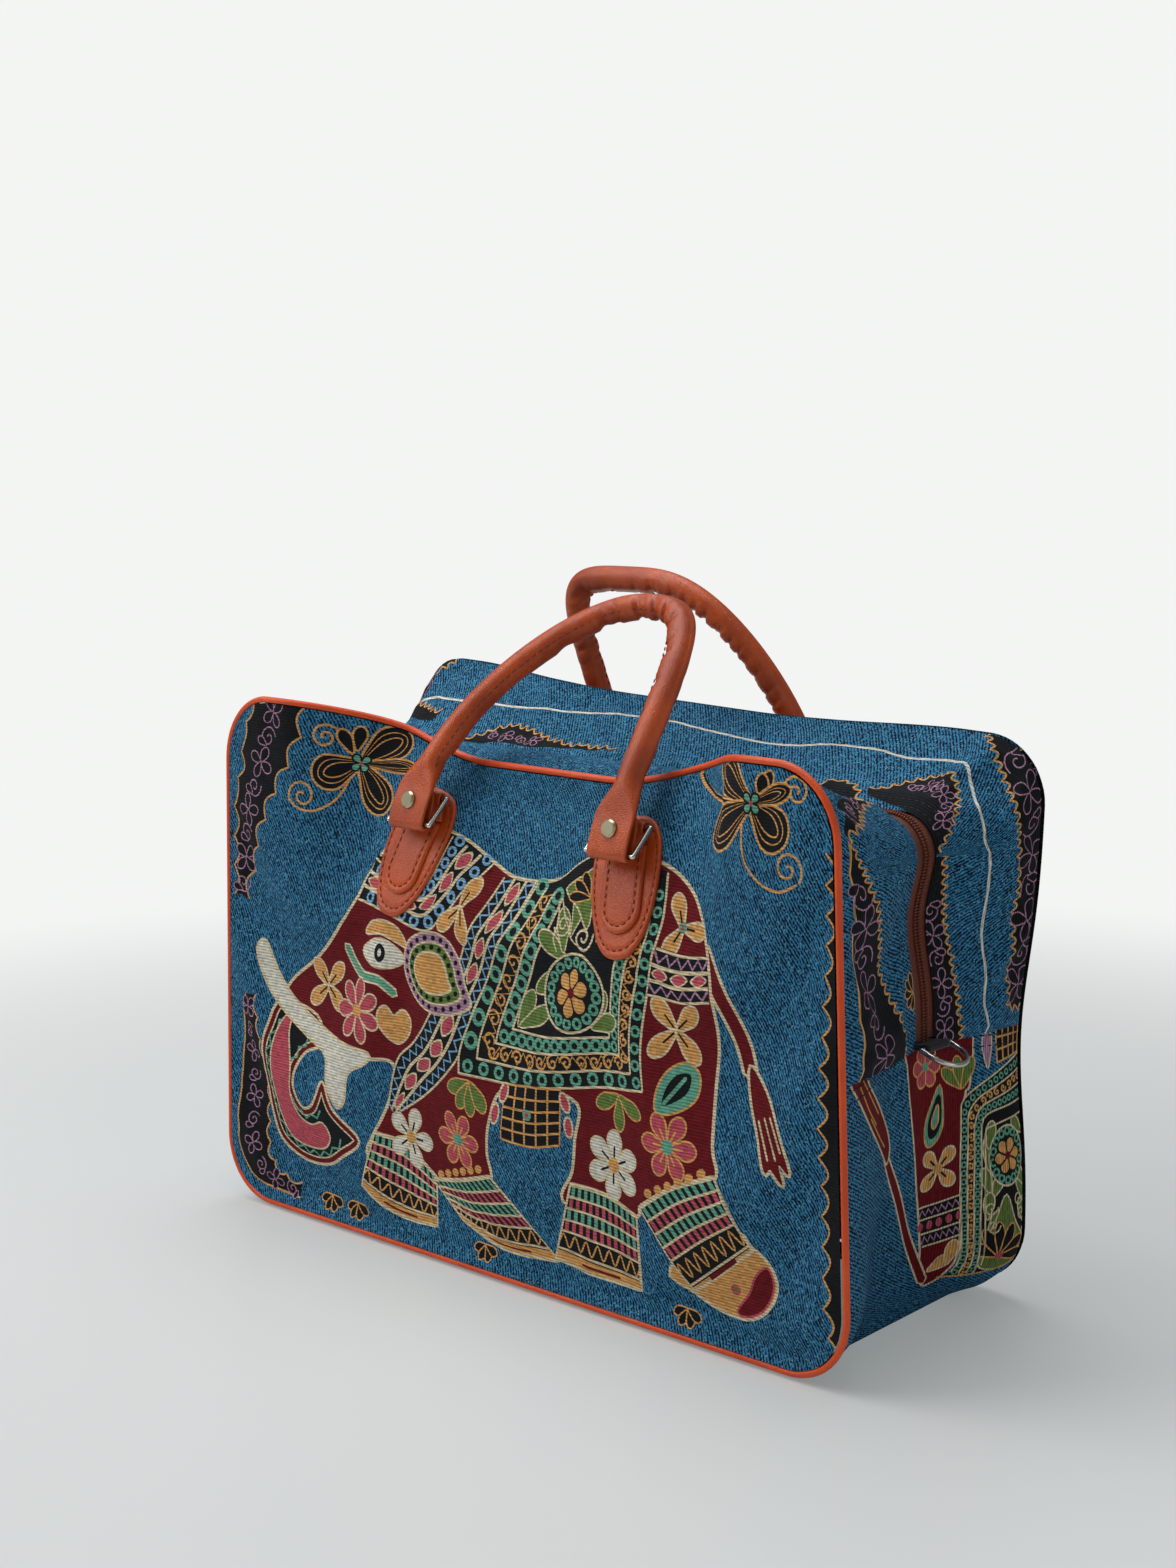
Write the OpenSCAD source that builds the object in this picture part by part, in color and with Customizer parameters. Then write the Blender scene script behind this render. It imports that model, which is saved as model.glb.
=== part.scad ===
// Zip-top travel bag for a laptop, sewn from woven cloth.
// Two padded panels with piped edges are joined by a gusset that folds inward along a zip.
// Two rolled handles hang on wire rings, and a D-ring hangs at each end of the zip.
// Millimetres. The bag stands on z = 0, its front faces -Y and its width runs along X.

/* [Panels] */
// Width of a panel at its widest stretch
panel_w = 453; // [400:1:520]
// Height of a panel from its lower edge to the top of its corners
panel_h = 289; // [270:1:330]
// Depth of the bag between the outer faces of its panels
bag_d = 166; // [140:1:210]
// Radius of a panel's corners
corner_r = 34; // [28:1:50]
// Thickness of a padded panel
panel_t = 3; // [2:0.5:5]
// How much narrower the front panel is at its top than at its foot
front_taper = 20; // [0:1:40]
// How much narrower the back panel is at its foot than at its top
back_taper = 16; // [0:1:40]
// How far a panel's lower half crowns outward
panel_crown = 5; // [0:0.5:10]
// Diameter of the piping cord round a panel's edge
piping_d = 4.6; // [3:0.2:6]

/* [Slump] */
// Height of the stretch at the top of a panel that leans inward
lean_drop = 110; // [95:1:125]
// How far the front panel's top edge leans inward at its middle
front_lean = 40; // [0:1:50]
// How far the front panel's top edge sags at its middle
front_sag = 27; // [0:1:32]
// How much higher the front panel stands at its left end
front_tilt = 4; // [0:1:14]
// How far the back panel's top edge leans inward at its middle
back_lean = 9; // [0:1:30]
// How far the back panel's top edge sags at its middle
back_sag = 5; // [0:1:20]
// How much higher the back panel stands at its left end
back_tilt = 18; // [0:1:22]

/* [Gusset] */
// Thickness of the gusset cloth
cloth_t = 1.8; // [1.2:0.1:2.6]
// Distance from the top of the panels down to the zip's ends
zip_drop = 147; // [135:1:165]
// How far the zip sinks below the panels' top edges
zip_sink = 33; // [24:1:40]
// How far the sides fold inward at the zip
side_fold = 22; // [10:1:30]
// How far the strips beside the zip swell outward
strip_swell = 3; // [0:0.5:6]
// How far the zip lies behind the middle of the bag
zip_back = 10; // [0:1:14]

/* [Zip] */
// Width of each zip tape
tape_w = 10; // [8:0.5:14]
// Thickness of the zip tape
tape_t = 0.9; // [0.6:0.1:1.4]
// Width of the coil on one tape
coil_w = 2.4; // [1.8:0.1:3]
// Height of the coil above its tape
coil_h = 2; // [1.6:0.1:2.6]
// Length of a zip slider
slider_l = 14; // [11:0.5:18]
// Length of a zip pull from its pivot
pull_l = 30; // [22:1:36]

/* [Handles] */
// Distance between the two ends of a handle
handle_span = 160; // [140:1:180]
// Height of the front handle's arch above its rings
front_rise = 116; // [95:1:130]
// Height of the back handle's arch above its rings
back_rise = 122; // [105:1:140]
// Diameter of the rolled stretch of a handle
roll_d = 14; // [11:0.5:16]
// Width of a handle's flat ends
strap_w = 26; // [20:1:30]
// Thickness of the handle leather at its flat ends
strap_t = 2.2; // [1.6:0.1:2.6]
// Diameter of a rivet's cap
rivet_d = 9.5; // [7:0.5:11]

/* [Tabs] */
// Distance from a panel's top edge down to the middle of a tab, along the panel
tab_drop = 67; // [60:1:74]
// Length of a tab's stitched patch
patch_l = 80; // [70:1:90]
// Widest width of a tab's stitched patch
patch_w = 46; // [38:1:52]
// Thickness of the patch leather
patch_t = 1.8; // [1.2:0.1:2.4]
// Lean of a tab's foot away from the middle of the bag
tab_splay = 10; // [0:1:12]
// Diameter of the ring wire
wire_d = 2.8; // [2.2:0.1:3.4]
// Distance between the two bars of a ring
ring_reach = 18; // [15:0.5:22]
// Angle of a ring below the level
ring_dip = 45; // [20:1:50]

/* [D-rings] */
// Width of the webbing loop at each end of the zip
web_w = 19; // [14:1:19]
// Thickness of the webbing
web_t = 1.3; // [1:0.1:1.6]
// Depth of a D-ring from its bar to the middle of its bow
d_ring_reach = 17; // [14:0.5:22]
// Angle of a D-ring below the level
d_ring_dip = 22; // [0:1:45]

/* [Hidden] */

FRONT = -1;
BACK = 1;
LEFT = -1;
RIGHT = 1;

denim = "#1f4e79";
piping_orange = "#e0582a";
leather = "#b8532f";
leather_edge = "#a4482a";
zip_brown = "#6b2f1c";
web_black = "#17181b";
steel = "silver";

// Gap between pieces that are sewn or laid against each other
seam_gap = 0.3;
// Running clearance of a wire or a pin in its loop
run_gap = 0.2;

// Height of a panel's lower edge, which the piping lifts off the ground
base_lift = piping_d + 2 * seam_gap;
// Heights on the flat panel, measured from its lower edge
seam_v = panel_h - zip_drop;
lean_v = panel_h - lean_drop;
tab_v = panel_h - tab_drop;

// Number of steps in a panel's quarter-round corner, and of columns across half a panel
arc_steps = 5;
half_columns = 7;

// Widths over which the sag and the lean of a top edge fade out, from the middle of the bag
sag_full = 45;
sag_fade = 135;
lean_full = 105;
lean_fade = 75;

// The zip's path: its width and top, and the radius of its corners
zip_w = panel_w - 2 * side_fold;
zip_top = panel_h - zip_sink;
zip_r = 20;
zip_slit = 0.6;

function clamp(v, low, high) = min(max(v, low), high);
function smooth(t) = let (c = clamp(t, 0, 1)) c * c * (3 - 2 * c);
function unit(v) = v / norm(v);
function lerp(a, b, t) = a + (b - a) * t;
function lean_of(side) = side == FRONT ? front_lean : back_lean;
function sag_of(side) = side == FRONT ? front_sag : back_sag;
function tilt_of(side) = side == FRONT ? front_tilt : back_tilt;
function rise_of(side) = side == FRONT ? front_rise : back_rise;

// Panel surface

// Share of the sag or lean left at a distance x from the middle
function fade(x, full, width) = 1 - smooth((abs(x) - full) / width);

// How far up the leaning stretch a height lies, from 0 to 1
function lean_share(v) = max(0, v - lean_v) / lean_drop;

function sag_at(side, x) = sag_of(side) * fade(x, sag_full, sag_fade);

// How much narrower a panel is at a height than at its widest
function taper_at(side, v) =
    side == FRONT ? front_taper * v / panel_h : back_taper * (1 - v / panel_h);

// How far a panel crowns outward at a flat place
function crown_at(p) =
    panel_crown * (1 - pow(2 * p[0] / panel_w, 2)) * pow(sin(180 * clamp(p[1] / lean_v, 0, 1)), 2);

// How much a panel is lifted towards its left end, above the seam
function tilt_at(side, p) =
    tilt_of(side) * (0.5 - p[0] / panel_w) * max(0, p[1] - seam_v) / zip_drop;

// A point of a panel, from its flat place [x, v] and its depth below the outer face
function panel_point(side, p, depth = 0) =
    let (
        up = lean_share(p[1]),
        lean = lean_of(side) * up * fade(p[0], lean_full, lean_fade)
    )
    [
        p[0] * (1 - taper_at(side, p[1]) / panel_w),
        side * (bag_d / 2 + crown_at(p) - lean - depth),
        base_lift + p[1] + tilt_at(side, p) - sag_at(side, p[0]) * pow(up, 2.5)
    ];

// Rows of a panel as [half width, height], closer together round the corners
corner_rows = [for (k = [0:arc_steps]) let (a = 90 * k / arc_steps)
    [panel_w / 2 - corner_r * (1 - sin(a)), corner_r * (1 - cos(a))]];
rows = concat(
    corner_rows,
    [for (v = [seam_v, lean_v, (lean_v + panel_h - corner_r) / 2]) [panel_w / 2, v]],
    [for (k = [arc_steps:-1:0]) [corner_rows[k][0], panel_h - corner_rows[k][1]]]
);
seam_row = arc_steps + 1;
top_row = len(rows) - 1;
columns = [for (j = [-half_columns:half_columns]) j / half_columns];

// The panel's rim above the seam, from right to left over the top, and below it, from left to right
rim_above = concat(
    [for (i = [seam_row:top_row]) rows[i]],
    [for (j = [2 * half_columns - 1:-1:1]) [columns[j] * rows[top_row][0], panel_h]],
    [for (i = [top_row:-1:seam_row]) [-rows[i][0], rows[i][1]]]
);
rim_below = concat(
    [[-panel_w / 2, seam_v - seam_gap]],
    [for (i = [arc_steps:-1:0]) [-rows[i][0], rows[i][1]]],
    [for (j = [1:2 * half_columns - 1]) [columns[j] * rows[0][0], 0]],
    [for (i = [0:arc_steps]) rows[i]],
    [[panel_w / 2, seam_v - seam_gap]]
);
rim = concat(
    rim_above,
    [for (i = [1:len(rim_below) - 2]) rim_below[i]]
);

// Centre of the rounded corner, or foot on the straight edge's inner line, next to a rim point
function rim_core(p) = [
    clamp(p[0], corner_r - panel_w / 2, panel_w / 2 - corner_r),
    clamp(p[1], corner_r, panel_h - corner_r)
];
function rim_normal(p) = unit(p - rim_core(p));
function in_space(n) = [n[0], 0, n[1]];

// Sheets and tubes

// The two triangles of a face with four corners
function halves(q) = [[q[0], q[1], q[2]], [q[0], q[2], q[3]]];
function backwards(faces) = [for (f = faces) [f[2], f[1], f[0]]];

module solid(points, faces, flip) {
    polyhedron(points, flip ? backwards(faces) : faces, convexity = 12);
}

// Closed sheet between two grids of points with the same rows and columns
module sheet(outer, inner, flip = false) {
    high = len(outer) - 1;
    wide = len(outer[0]) - 1;
    function at(layer, i, j) = (layer * (high + 1) + i) * (wide + 1) + j;
    function cell(n, i, j) = [at(n, i, j), at(n, i, j + 1), at(n, i + 1, j + 1), at(n, i + 1, j)];
    function edge_along(i, j, k) = [at(0, i, j), at(0, i, k), at(1, i, k), at(1, i, j)];
    function edge_up(j, i, k) = [at(0, i, j), at(0, k, j), at(1, k, j), at(1, i, j)];
    quads = concat(
        [for (i = [0:high - 1], j = [0:wide - 1]) cell(0, i, j)],
        [for (i = [0:high - 1], j = [0:wide - 1]) let (q = cell(1, i, j)) [q[0], q[3], q[2], q[1]]],
        [for (j = [0:wide - 1]) edge_along(0, j + 1, j)],
        [for (j = [0:wide - 1]) edge_along(high, j, j + 1)],
        [for (i = [0:high - 1]) edge_up(0, i, i + 1)],
        [for (i = [0:high - 1]) edge_up(wide, i + 1, i)]
    );
    solid(concat([for (r = outer) each r], [for (r = inner) each r]), [for (q = quads) each halves(q)], flip);
}

// Tube through rings of points, joined end to end or closed by its two end faces
module tube(rings, loop = false, flip = false) {
    count = len(rings);
    sides = len(rings[0]);
    last = count - 1;
    function at(i, k) = (i % count) * sides + k % sides;
    function side_face(i, k) = [at(i, k), at(i, k + 1), at(i + 1, k + 1), at(i + 1, k)];
    quads = [for (i = [0:loop ? last : last - 1], k = [0:sides - 1]) side_face(i, k)];
    first_end = [for (k = [1:sides - 2]) [at(0, 0), at(0, k + 1), at(0, k)]];
    last_end = [for (k = [1:sides - 2]) [at(last, 0), at(last, k), at(last, k + 1)]];
    ends = loop ? [] : concat(first_end, last_end);
    solid([for (r = rings) each r], concat([for (q = quads) each halves(q)], ends), flip);
}

// Panels and piping

module panel(side) {
    function face(depth) = [for (r = rows) [for (u = columns) panel_point(side, [u * r[0], r[1]], depth)]];
    color(denim) sheet(face(0), face(panel_t), side == FRONT);
}

module piping(side) {
    sides = 8;
    radius = piping_d / 2;
    color(piping_orange) tube([
        for (p = rim)
            let (
                out = in_space(rim_normal(p)),
                centre = panel_point(side, p, panel_t / 2) + out * (radius + seam_gap / 2)
            )
            [for (k = [0:sides - 1])
                let (a = 360 * k / sides)
                centre + radius * (cos(a) * out + sin(a) * [0, side, 0])]
    ], loop = true, flip = side == FRONT);
}

// Gusset

// Place on the zip's path that faces a rim point
function zip_place(p) =
    let (core = rim_core(p))
    [
        clamp(core[0], zip_r - zip_w / 2, zip_w / 2 - zip_r),
        min(core[1], zip_top - zip_r)
    ] + zip_r * rim_normal(p);

function flat_to_space(p, y) = [p[0], y, base_lift + p[1]];

// How far a strip swells out, most at the middle of a sagging top edge
function swell(side, p) =
    strip_swell + 0.55 * sag_at(side, p[0]) * smooth((p[1] - panel_h + corner_r) / corner_r);

strip_steps = [0, 0.18, 0.42, 0.7, 1];

// Extra room between a strip and a panel's top edge where the edge swings in from its corners
function swing_room(p) = 1.7 * smooth((abs(p[0]) - 70) / 35) * (1 - smooth((abs(p[0]) - 185) / 30));

// One face of the strip between a panel's rim and the zip tape, sunk below its outer face
function strip_face(side, sunk) = [
    for (p = rim_above)
        let (
            out = in_space(rim_normal(p)),
            inner = p - rim_normal(p) * sunk,
            start = panel_point(side, inner, panel_t + seam_gap + swing_room(p)),
            end = flat_to_space(zip_place(p), zip_back + side * (tape_w + zip_slit + seam_gap)) - out * sunk
        )
        [for (t = strip_steps) lerp(start, end, t) + out * swell(side, p) * 4 * t * (1 - t)]
];

module zip_strip(side) {
    color(denim) sheet(strip_face(side, 0), strip_face(side, cloth_t), side == BACK);
}

gusset_steps = [0, 0.07, 0.2, 0.36, 0.44, 0.56, 0.64, 0.8, 0.93, 1];

// Depth of the gusset's inward fold across its width, and the flat of its foot
function fold_shape(t) = smooth(1.12 * (1 - abs(2 * t - 1)));
function foot_shape(t) = t < 0.01 || t > 0.99 ? 0 : 1;

function gusset_face(sunk) = [
    for (p = rim_below)
        let (
            out = in_space(rim_normal(p)),
            upright = smooth(p[1] / (1.8 * corner_r)),
            inner = p - rim_normal(p) * sunk,
            front = panel_point(FRONT, inner, panel_t + seam_gap),
            back = panel_point(BACK, inner, panel_t + seam_gap)
        )
        [for (t = gusset_steps)
            lerp(front, back, t + zip_back / (bag_d - 2 * panel_t) * (1 - pow(2 * t - 1, 2)))
            + out * ((1 - upright) * base_lift * foot_shape(t) - upright * side_fold * fold_shape(t))]
];

module base_gusset() {
    color(denim) sheet(gusset_face(0), gusset_face(cloth_t), true);
}

// Zip

// Outline of the space inside the zip's path, grown outward by some distance
module zip_outline(grow) {
    radius = zip_r + grow;
    half = zip_w / 2 + grow;
    top = zip_top + grow;
    union() {
        translate([-half, 0]) square([2 * half, top - radius]);
        translate([radius - half, 0]) square([2 * (half - radius), top]);
        for (x = [radius - half, half - radius]) translate([x, top - radius]) circle(radius, $fn = 64);
    }
}

// Band along the zip's path, from one growth to another, above the webbing at its ends
module zip_band(low, high, width) {
    foot = seam_v + 2 * web_t + 2 * seam_gap;
    translate([0, 0, base_lift]) rotate([90, 0, 0]) linear_extrude(width) difference() {
        zip_outline(high);
        zip_outline(low);
        translate([-panel_w / 2, -1]) square([panel_w, foot + 1]);
    }
}

module zip_tape(side) {
    color(zip_brown) translate([0, zip_back + (side == FRONT ? -zip_slit : zip_slit + tape_w), 0])
        zip_band(-tape_t, 0, tape_w);
}

module zip_coil(side) {
    color(zip_brown) translate([0, zip_back + (side == FRONT ? -zip_slit : zip_slit + coil_w), 0])
        zip_band(0, coil_h, coil_w);
}

slider_gap = 0.35;
wing_t = 1.3;
wing_w = 2 * (zip_slit + coil_w + slider_gap + wing_t);
bail_l = 8;
bail_w = 2;
pivot_r = 0.9;
// Places of a slider's parts above the tape, and of the slider along the zip
wing_low = coil_h + slider_gap;
bail_low = wing_low + wing_t;
pivot_up = bail_low + 1.9;
slider_x = slider_l / 2 + 7;
zip_z = base_lift + zip_top;

// Shield outline of a slider's wings, narrower at its tail
module wing_outline() {
    tail_w = wing_w - 2.4;
    polygon([
        [-slider_l / 2, -tail_w / 2],
        [0, -wing_w / 2],
        [slider_l / 2 - 2, -wing_w / 2],
        [slider_l / 2, 2 - wing_w / 2],
        [slider_l / 2, wing_w / 2 - 2],
        [slider_l / 2 - 2, wing_w / 2],
        [0, wing_w / 2],
        [-slider_l / 2, tail_w / 2]
    ]);
}

// Slider drawn with its nose along +X and the tape's face at z = 0
module slider_body() {
    web = 2 * (zip_slit - run_gap);
    flange = 0.9;
    translate([0, 0, wing_low]) linear_extrude(wing_t) wing_outline();
    translate([0, 0, -tape_t - slider_gap - wing_t]) linear_extrude(wing_t) wing_outline();
    translate([0, -web / 2, -tape_t - slider_gap - wing_t / 2])
        cube([slider_l / 2 - 1, web, wing_low + tape_t + slider_gap + wing_t]);
    for (s = [-1, 1]) translate([1, s * (wing_w - flange) / 2 - flange / 2, slider_gap])
        cube([slider_l / 2 - 3.5, flange, wing_low + wing_t / 2 - slider_gap]);
    translate([0, bail_w / 2, bail_low]) rotate([90, 0, 0]) linear_extrude(bail_w) difference() {
        union() {
            translate([-bail_l / 2, -wing_t / 2]) square([bail_l, wing_t / 2 + 1.2]);
            translate([0, pivot_up - bail_low]) circle(2.6, $fn = 48);
        }
        translate([0, pivot_up - bail_low]) circle(pivot_r + run_gap, $fn = 48);
    }
}

module at_slider(hand) {
    translate([hand * slider_x, zip_back, zip_z]) mirror([hand == RIGHT ? 1 : 0, 0, 0]) children();
}

module zip_slider(hand) {
    color(zip_brown) at_slider(hand) slider_body();
}

// Pull drawn on its pivot, lying towards the slider's tail
module pull_body() {
    arm_gap = bail_w / 2 + slider_gap;
    arm_w = 1.3;
    blade_t = 1.4;
    neck = 6.2;
    rotate([90, 0, 0]) cylinder(h = 2 * (arm_gap + arm_w), r = pivot_r, center = true, $fn = 32);
    for (s = [-1, 1]) translate([-neck - 1, s * (arm_gap + arm_w / 2) - arm_w / 2, -blade_t / 2])
        cube([neck + 1 + pivot_r, arm_w, blade_t]);
    translate([0, 0, -blade_t / 2]) linear_extrude(blade_t) difference() {
        union() {
            translate([-pull_l + 4, -4]) square([pull_l - 4 - neck, 8]);
            translate([-pull_l + 4, 0]) circle(4, $fn = 48);
        }
        translate([-pull_l + 5, 0]) circle(1.7, $fn = 48);
    }
}

module zip_pull(hand) {
    color(zip_brown) at_slider(hand) translate([0, 0, pivot_up]) pull_body();
}

// D-rings at the zip's ends

wire_r = wire_d / 2;
web_x = zip_w / 2 + coil_h + 4 + wire_r;
web_z = base_lift + seam_v + seam_gap + web_t;
loop_r = wire_r + run_gap;

// Webbing folded round the D-ring's bar, its two plies held in the seam
module web_loop(hand) {
    inside = zip_w / 2 - 6;
    color(web_black) mirror([hand == LEFT ? 1 : 0, 0, 0])
        translate([0, zip_back + web_w / 2, web_z]) rotate([90, 0, 0]) linear_extrude(web_w) difference() {
            union() {
                translate([inside, -web_t]) square([web_x - inside - loop_r, 2 * web_t]);
                translate([web_x, 0]) circle(loop_r + web_t, $fn = 64);
            }
            translate([web_x, 0]) circle(loop_r, $fn = 64);
        }
}

module d_ring(hand) {
    half = web_w / 2 + 1 + wire_r;
    leg = d_ring_reach - half;
    color(steel) mirror([hand == LEFT ? 1 : 0, 0, 0]) translate([web_x, zip_back, web_z])
    rotate([0, d_ring_dip, 0]) {
        rotate([90, 0, 0]) cylinder(h = 2 * half, r = wire_r, center = true, $fn = 32);
        for (s = [-1, 1]) translate([0, s * half, 0]) {
            sphere(wire_r, $fn = 32);
            rotate([0, 90, 0]) cylinder(h = leg, r = wire_r, $fn = 32);
        }
        translate([leg, 0, 0]) rotate([0, 0, -90]) rotate_extrude(angle = 180, $fn = 96)
            translate([half, 0]) circle(wire_r, $fn = 32);
    }
}

// Handle tabs

tongue_t = 1.5;
// Room under a flat patch for the swell of the cloth behind it
tab_gap = 1.3;
tab_x = handle_span / 2;
tongue_w = strap_w;
bore_r = wire_r + run_gap;
eye_r = bore_r + tongue_t;
// Place of a tongue's eye on its tab: up the patch, and out from the panel
eye_up = patch_l / 2 - 13;
eye_out = tab_gap + patch_t + eye_r;

// Middle of a tab on the panel, and the panel's lean there
function tab_foot(side) = panel_point(side, [tab_x, tab_v]);
function tab_lean(side) =
    let (rise = panel_point(side, [tab_x, tab_v + 8]) - panel_point(side, [tab_x, tab_v - 8]))
    atan2(-side * rise[1], rise[2]);

// Puts what is drawn upright, facing -Y, on the panel at a tab
module at_tab(side, hand) {
    foot = tab_foot(side);
    mirror([0, side == BACK ? 1 : 0, 0])
        translate([hand * abs(tab_foot(FRONT)[0]), -abs(foot[1]), foot[2]]) rotate([-tab_lean(side), 0, 0]) children();
}

// Long rounded patch, widest above its middle
module patch_outline() {
    polygon([
        for (a = [0:5:355])
            [
                patch_w / 2 * sign(cos(a)) * pow(abs(cos(a)), 0.8) * (0.94 + 0.12 * sin(a)),
                patch_l / 2 * sign(sin(a)) * pow(abs(sin(a)), 0.9)
            ]
    ]);
}

module patch(side, hand) {
    color(leather) at_tab(side, hand) rotate([0, -hand * tab_splay, 0])
        translate([0, -tab_gap, 0]) rotate([90, 0, 0]) linear_extrude(patch_t) patch_outline();
}

// Side view of a tongue: two plies sewn flat, opening into an eye round the ring's bar
module tongue_profile() {
    near = tab_gap + patch_t;
    foot = 12 - patch_l / 2;
    difference() {
        union() {
            polygon([
                [near, eye_up], [near, foot], [near + 2 * tongue_t, foot],
                [near + 2 * tongue_t, eye_up - 10], [eye_out + eye_r, eye_up]
            ]);
            translate([eye_out, eye_up]) circle(eye_r, $fn = 64);
        }
        translate([eye_out, eye_up]) circle(bore_r, $fn = 64);
    }
}

// Sideways place of a tab's eye, which the splay carries towards the middle of the bag
function eye_shift(hand) = -hand * sin(tab_splay) * (eye_up - 5);

// Front view of a tongue: a strap with a round foot, splayed with its patch, and a level eye
module tongue_outline(hand) {
    foot = 12 - patch_l / 2;
    half = tongue_w / 2;
    rotate(hand * tab_splay) {
        translate([0, foot + half]) circle(half, $fn = 64);
        translate([-half, foot + half]) square([tongue_w, eye_up - foot - half - 4]);
    }
    translate([eye_shift(hand) - half, eye_up - 9]) square([tongue_w, 9 + eye_r + 1]);
}

module tongue(side, hand) {
    reach = eye_out + eye_r + 1;
    color(leather) at_tab(side, hand) intersection() {
        translate([-patch_w, 0, 0]) rotate([90, 0, 90]) mirror([1, 0, 0])
            linear_extrude(2 * patch_w) tongue_profile();
        rotate([90, 0, 0]) linear_extrude(reach) tongue_outline(hand);
    }
}

// Middle of a tongue's eye in space, without its place along X
function eye_place(side) =
    let (foot = tab_foot(side), lean = tab_lean(side))
    [
        0,
        foot[1] + side * (eye_out * cos(lean) - eye_up * sin(lean)),
        foot[2] + eye_out * sin(lean) + eye_up * cos(lean)
    ];
eye_x = abs(tab_foot(FRONT)[0]) - abs(eye_shift(1));

// Middle of a ring's outer bar, which holds the handle's end
function bar_place(side) = eye_place(side) + ring_reach * [0, side * cos(ring_dip), -sin(ring_dip)];

// Wire ring between a tongue's eye and a handle's end
module wire_ring(side, hand) {
    half = strap_w / 2 + 1.6 + wire_r;
    inner_bar = eye_place(side);
    color(steel) translate([hand * eye_x, inner_bar[1], inner_bar[2]]) rotate([-side * ring_dip, 0, 0])
        mirror([0, side == FRONT ? 1 : 0, 0]) {
            for (y = [0, ring_reach]) translate([0, y, 0]) rotate([0, 90, 0])
                cylinder(h = 2 * half, r = wire_r, center = true, $fn = 32);
            for (x = [-half, half]) translate([x, 0, 0]) {
                rotate([-90, 0, 0]) cylinder(h = ring_reach, r = wire_r, $fn = 32);
                for (y = [0, ring_reach]) translate([0, y, 0]) sphere(wire_r, $fn = 32);
            }
        }
}

// Handles

handle_sides = 10;
arch_steps = 36;
// How a handle's side view leaves the upright: its first slope, and how fast the slope grows
front_slope = 0.26;
front_bend = 0.0043;
back_slope = 0.14;
back_bend = 0.0011;
// Sideways lean of a handle's crown
front_sway = 24;
back_sway = -40;
// Squareness of a handle's arch: 1 is an ellipse, less is squarer
front_square = 0.85;
back_square = 0.52;
// Heights above the ring's bar: the tip of the folded end, the flat stretch, and the start of the roll
tip_up = 22;
flat_up = 18;
roll_up = 40;
rivet_up = 12;
fold_r = bore_r + strap_t / 2;
handle_x = eye_x;

function slope_of(side) = side == FRONT ? front_slope : back_slope;
function bend_of(side) = side == FRONT ? front_bend : back_bend;
function square_of(side) = side == FRONT ? front_square : back_square;
function sway_of(side) = side == FRONT ? front_sway : back_sway;

// Sideways place of a handle's arch, squarer than an ellipse and swayed at its crown
function arch_x(side, angle) =
    handle_x * sign(cos(angle)) * pow(abs(cos(angle)), square_of(side))
    + sway_of(side) * pow(max(0, sin(angle)), 1.5);

// Point of a handle's arch above the ring's bars, without any thickness
function arch_point(side, angle) =
    let (up = rise_of(side) * sin(angle), bar = bar_place(side))
    [
        arch_x(side, angle),
        bar[1] - side * (slope_of(side) * up + bend_of(side) * up * up),
        bar[2] + up
    ];

// Outward normal of the leaning sheet in which a handle lies, at a height above the bars
function sheet_normal(side, up) = unit([0, side, slope_of(side) + 2 * bend_of(side) * up]);

// Superellipse section from flat to round: half width, half thickness and squareness
function section(centre, across, out, a, b, square) = [
    for (k = [0:handle_sides - 1])
        let (
            angle = 360 * (k + 0.5) / handle_sides,
            c = cos(angle),
            s = sin(angle)
        )
        centre + across * a * sign(c) * pow(abs(c), square) + out * b * sign(s) * pow(abs(s), square)
];

// Share of the way from the flat end to the roll, at a height above the bars
function rolled(up) = smooth((up - flat_up) / (roll_up - flat_up));

function arch_ring(side, angle) =
    let (
        up = rise_of(side) * sin(angle),
        tangent = unit(arch_point(side, angle + 0.5) - arch_point(side, angle - 0.5)),
        normal = sheet_normal(side, up),
        across = unit(cross(normal, tangent)),
        out = cross(tangent, across),
        r = rolled(up),
        centre = arch_point(side, angle) + normal * fold_r * (1 - r)
    )
    section(
        centre, across, out,
        lerp(strap_w / 2, roll_d / 2, r), lerp(strap_t / 2, roll_d / 2, r), lerp(0.35, 1, r)
    );

// Rings of a handle's folded end, from its tip behind the bar to the front of the bar
function fold_rings(side, hand) =
    let (
        bar = bar_place(side) + [hand * handle_x, 0, 0],
        normal = sheet_normal(side, 0),
        up = unit([0, -side * slope_of(side), 1]),
        turns = [for (a = [0:30:150]) [fold_r * -cos(a), fold_r * -sin(a), a]],
        places = concat([for (h = [tip_up, tip_up / 2]) [-fold_r, h, 0]], turns)
    )
    [for (q = places)
        section(
            bar + normal * q[0] + up * q[1],
            [hand * side, 0, 0],
            -normal * cos(q[2]) - up * sin(q[2]),
            strap_w / 2, strap_t / 2, 0.35
        )
    ];

function reversed(list) = [for (i = [len(list) - 1:-1:0]) list[i]];

module rivet_axis(side, hand) {
    normal = sheet_normal(side, 0);
    up = unit([0, -side * slope_of(side), 1]);
    place = bar_place(side) + [hand * handle_x, 0, 0] + up * rivet_up;
    translate(place) rotate([-side * 90, 0, 0]) rotate([side * atan(slope_of(side)), 0, 0]) children();
}

module handle(side) {
    angles = [for (i = [0:arch_steps]) 180 * i / arch_steps];
    rings = concat(
        fold_rings(side, RIGHT),
        [for (a = angles) arch_ring(side, a)],
        reversed(fold_rings(side, LEFT))
    );
    color(leather) difference() {
        tube(rings);
        for (hand = [LEFT, RIGHT]) rivet_axis(side, hand) cylinder(h = 20, r = 2, center = true, $fn = 32);
    }
}

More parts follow.
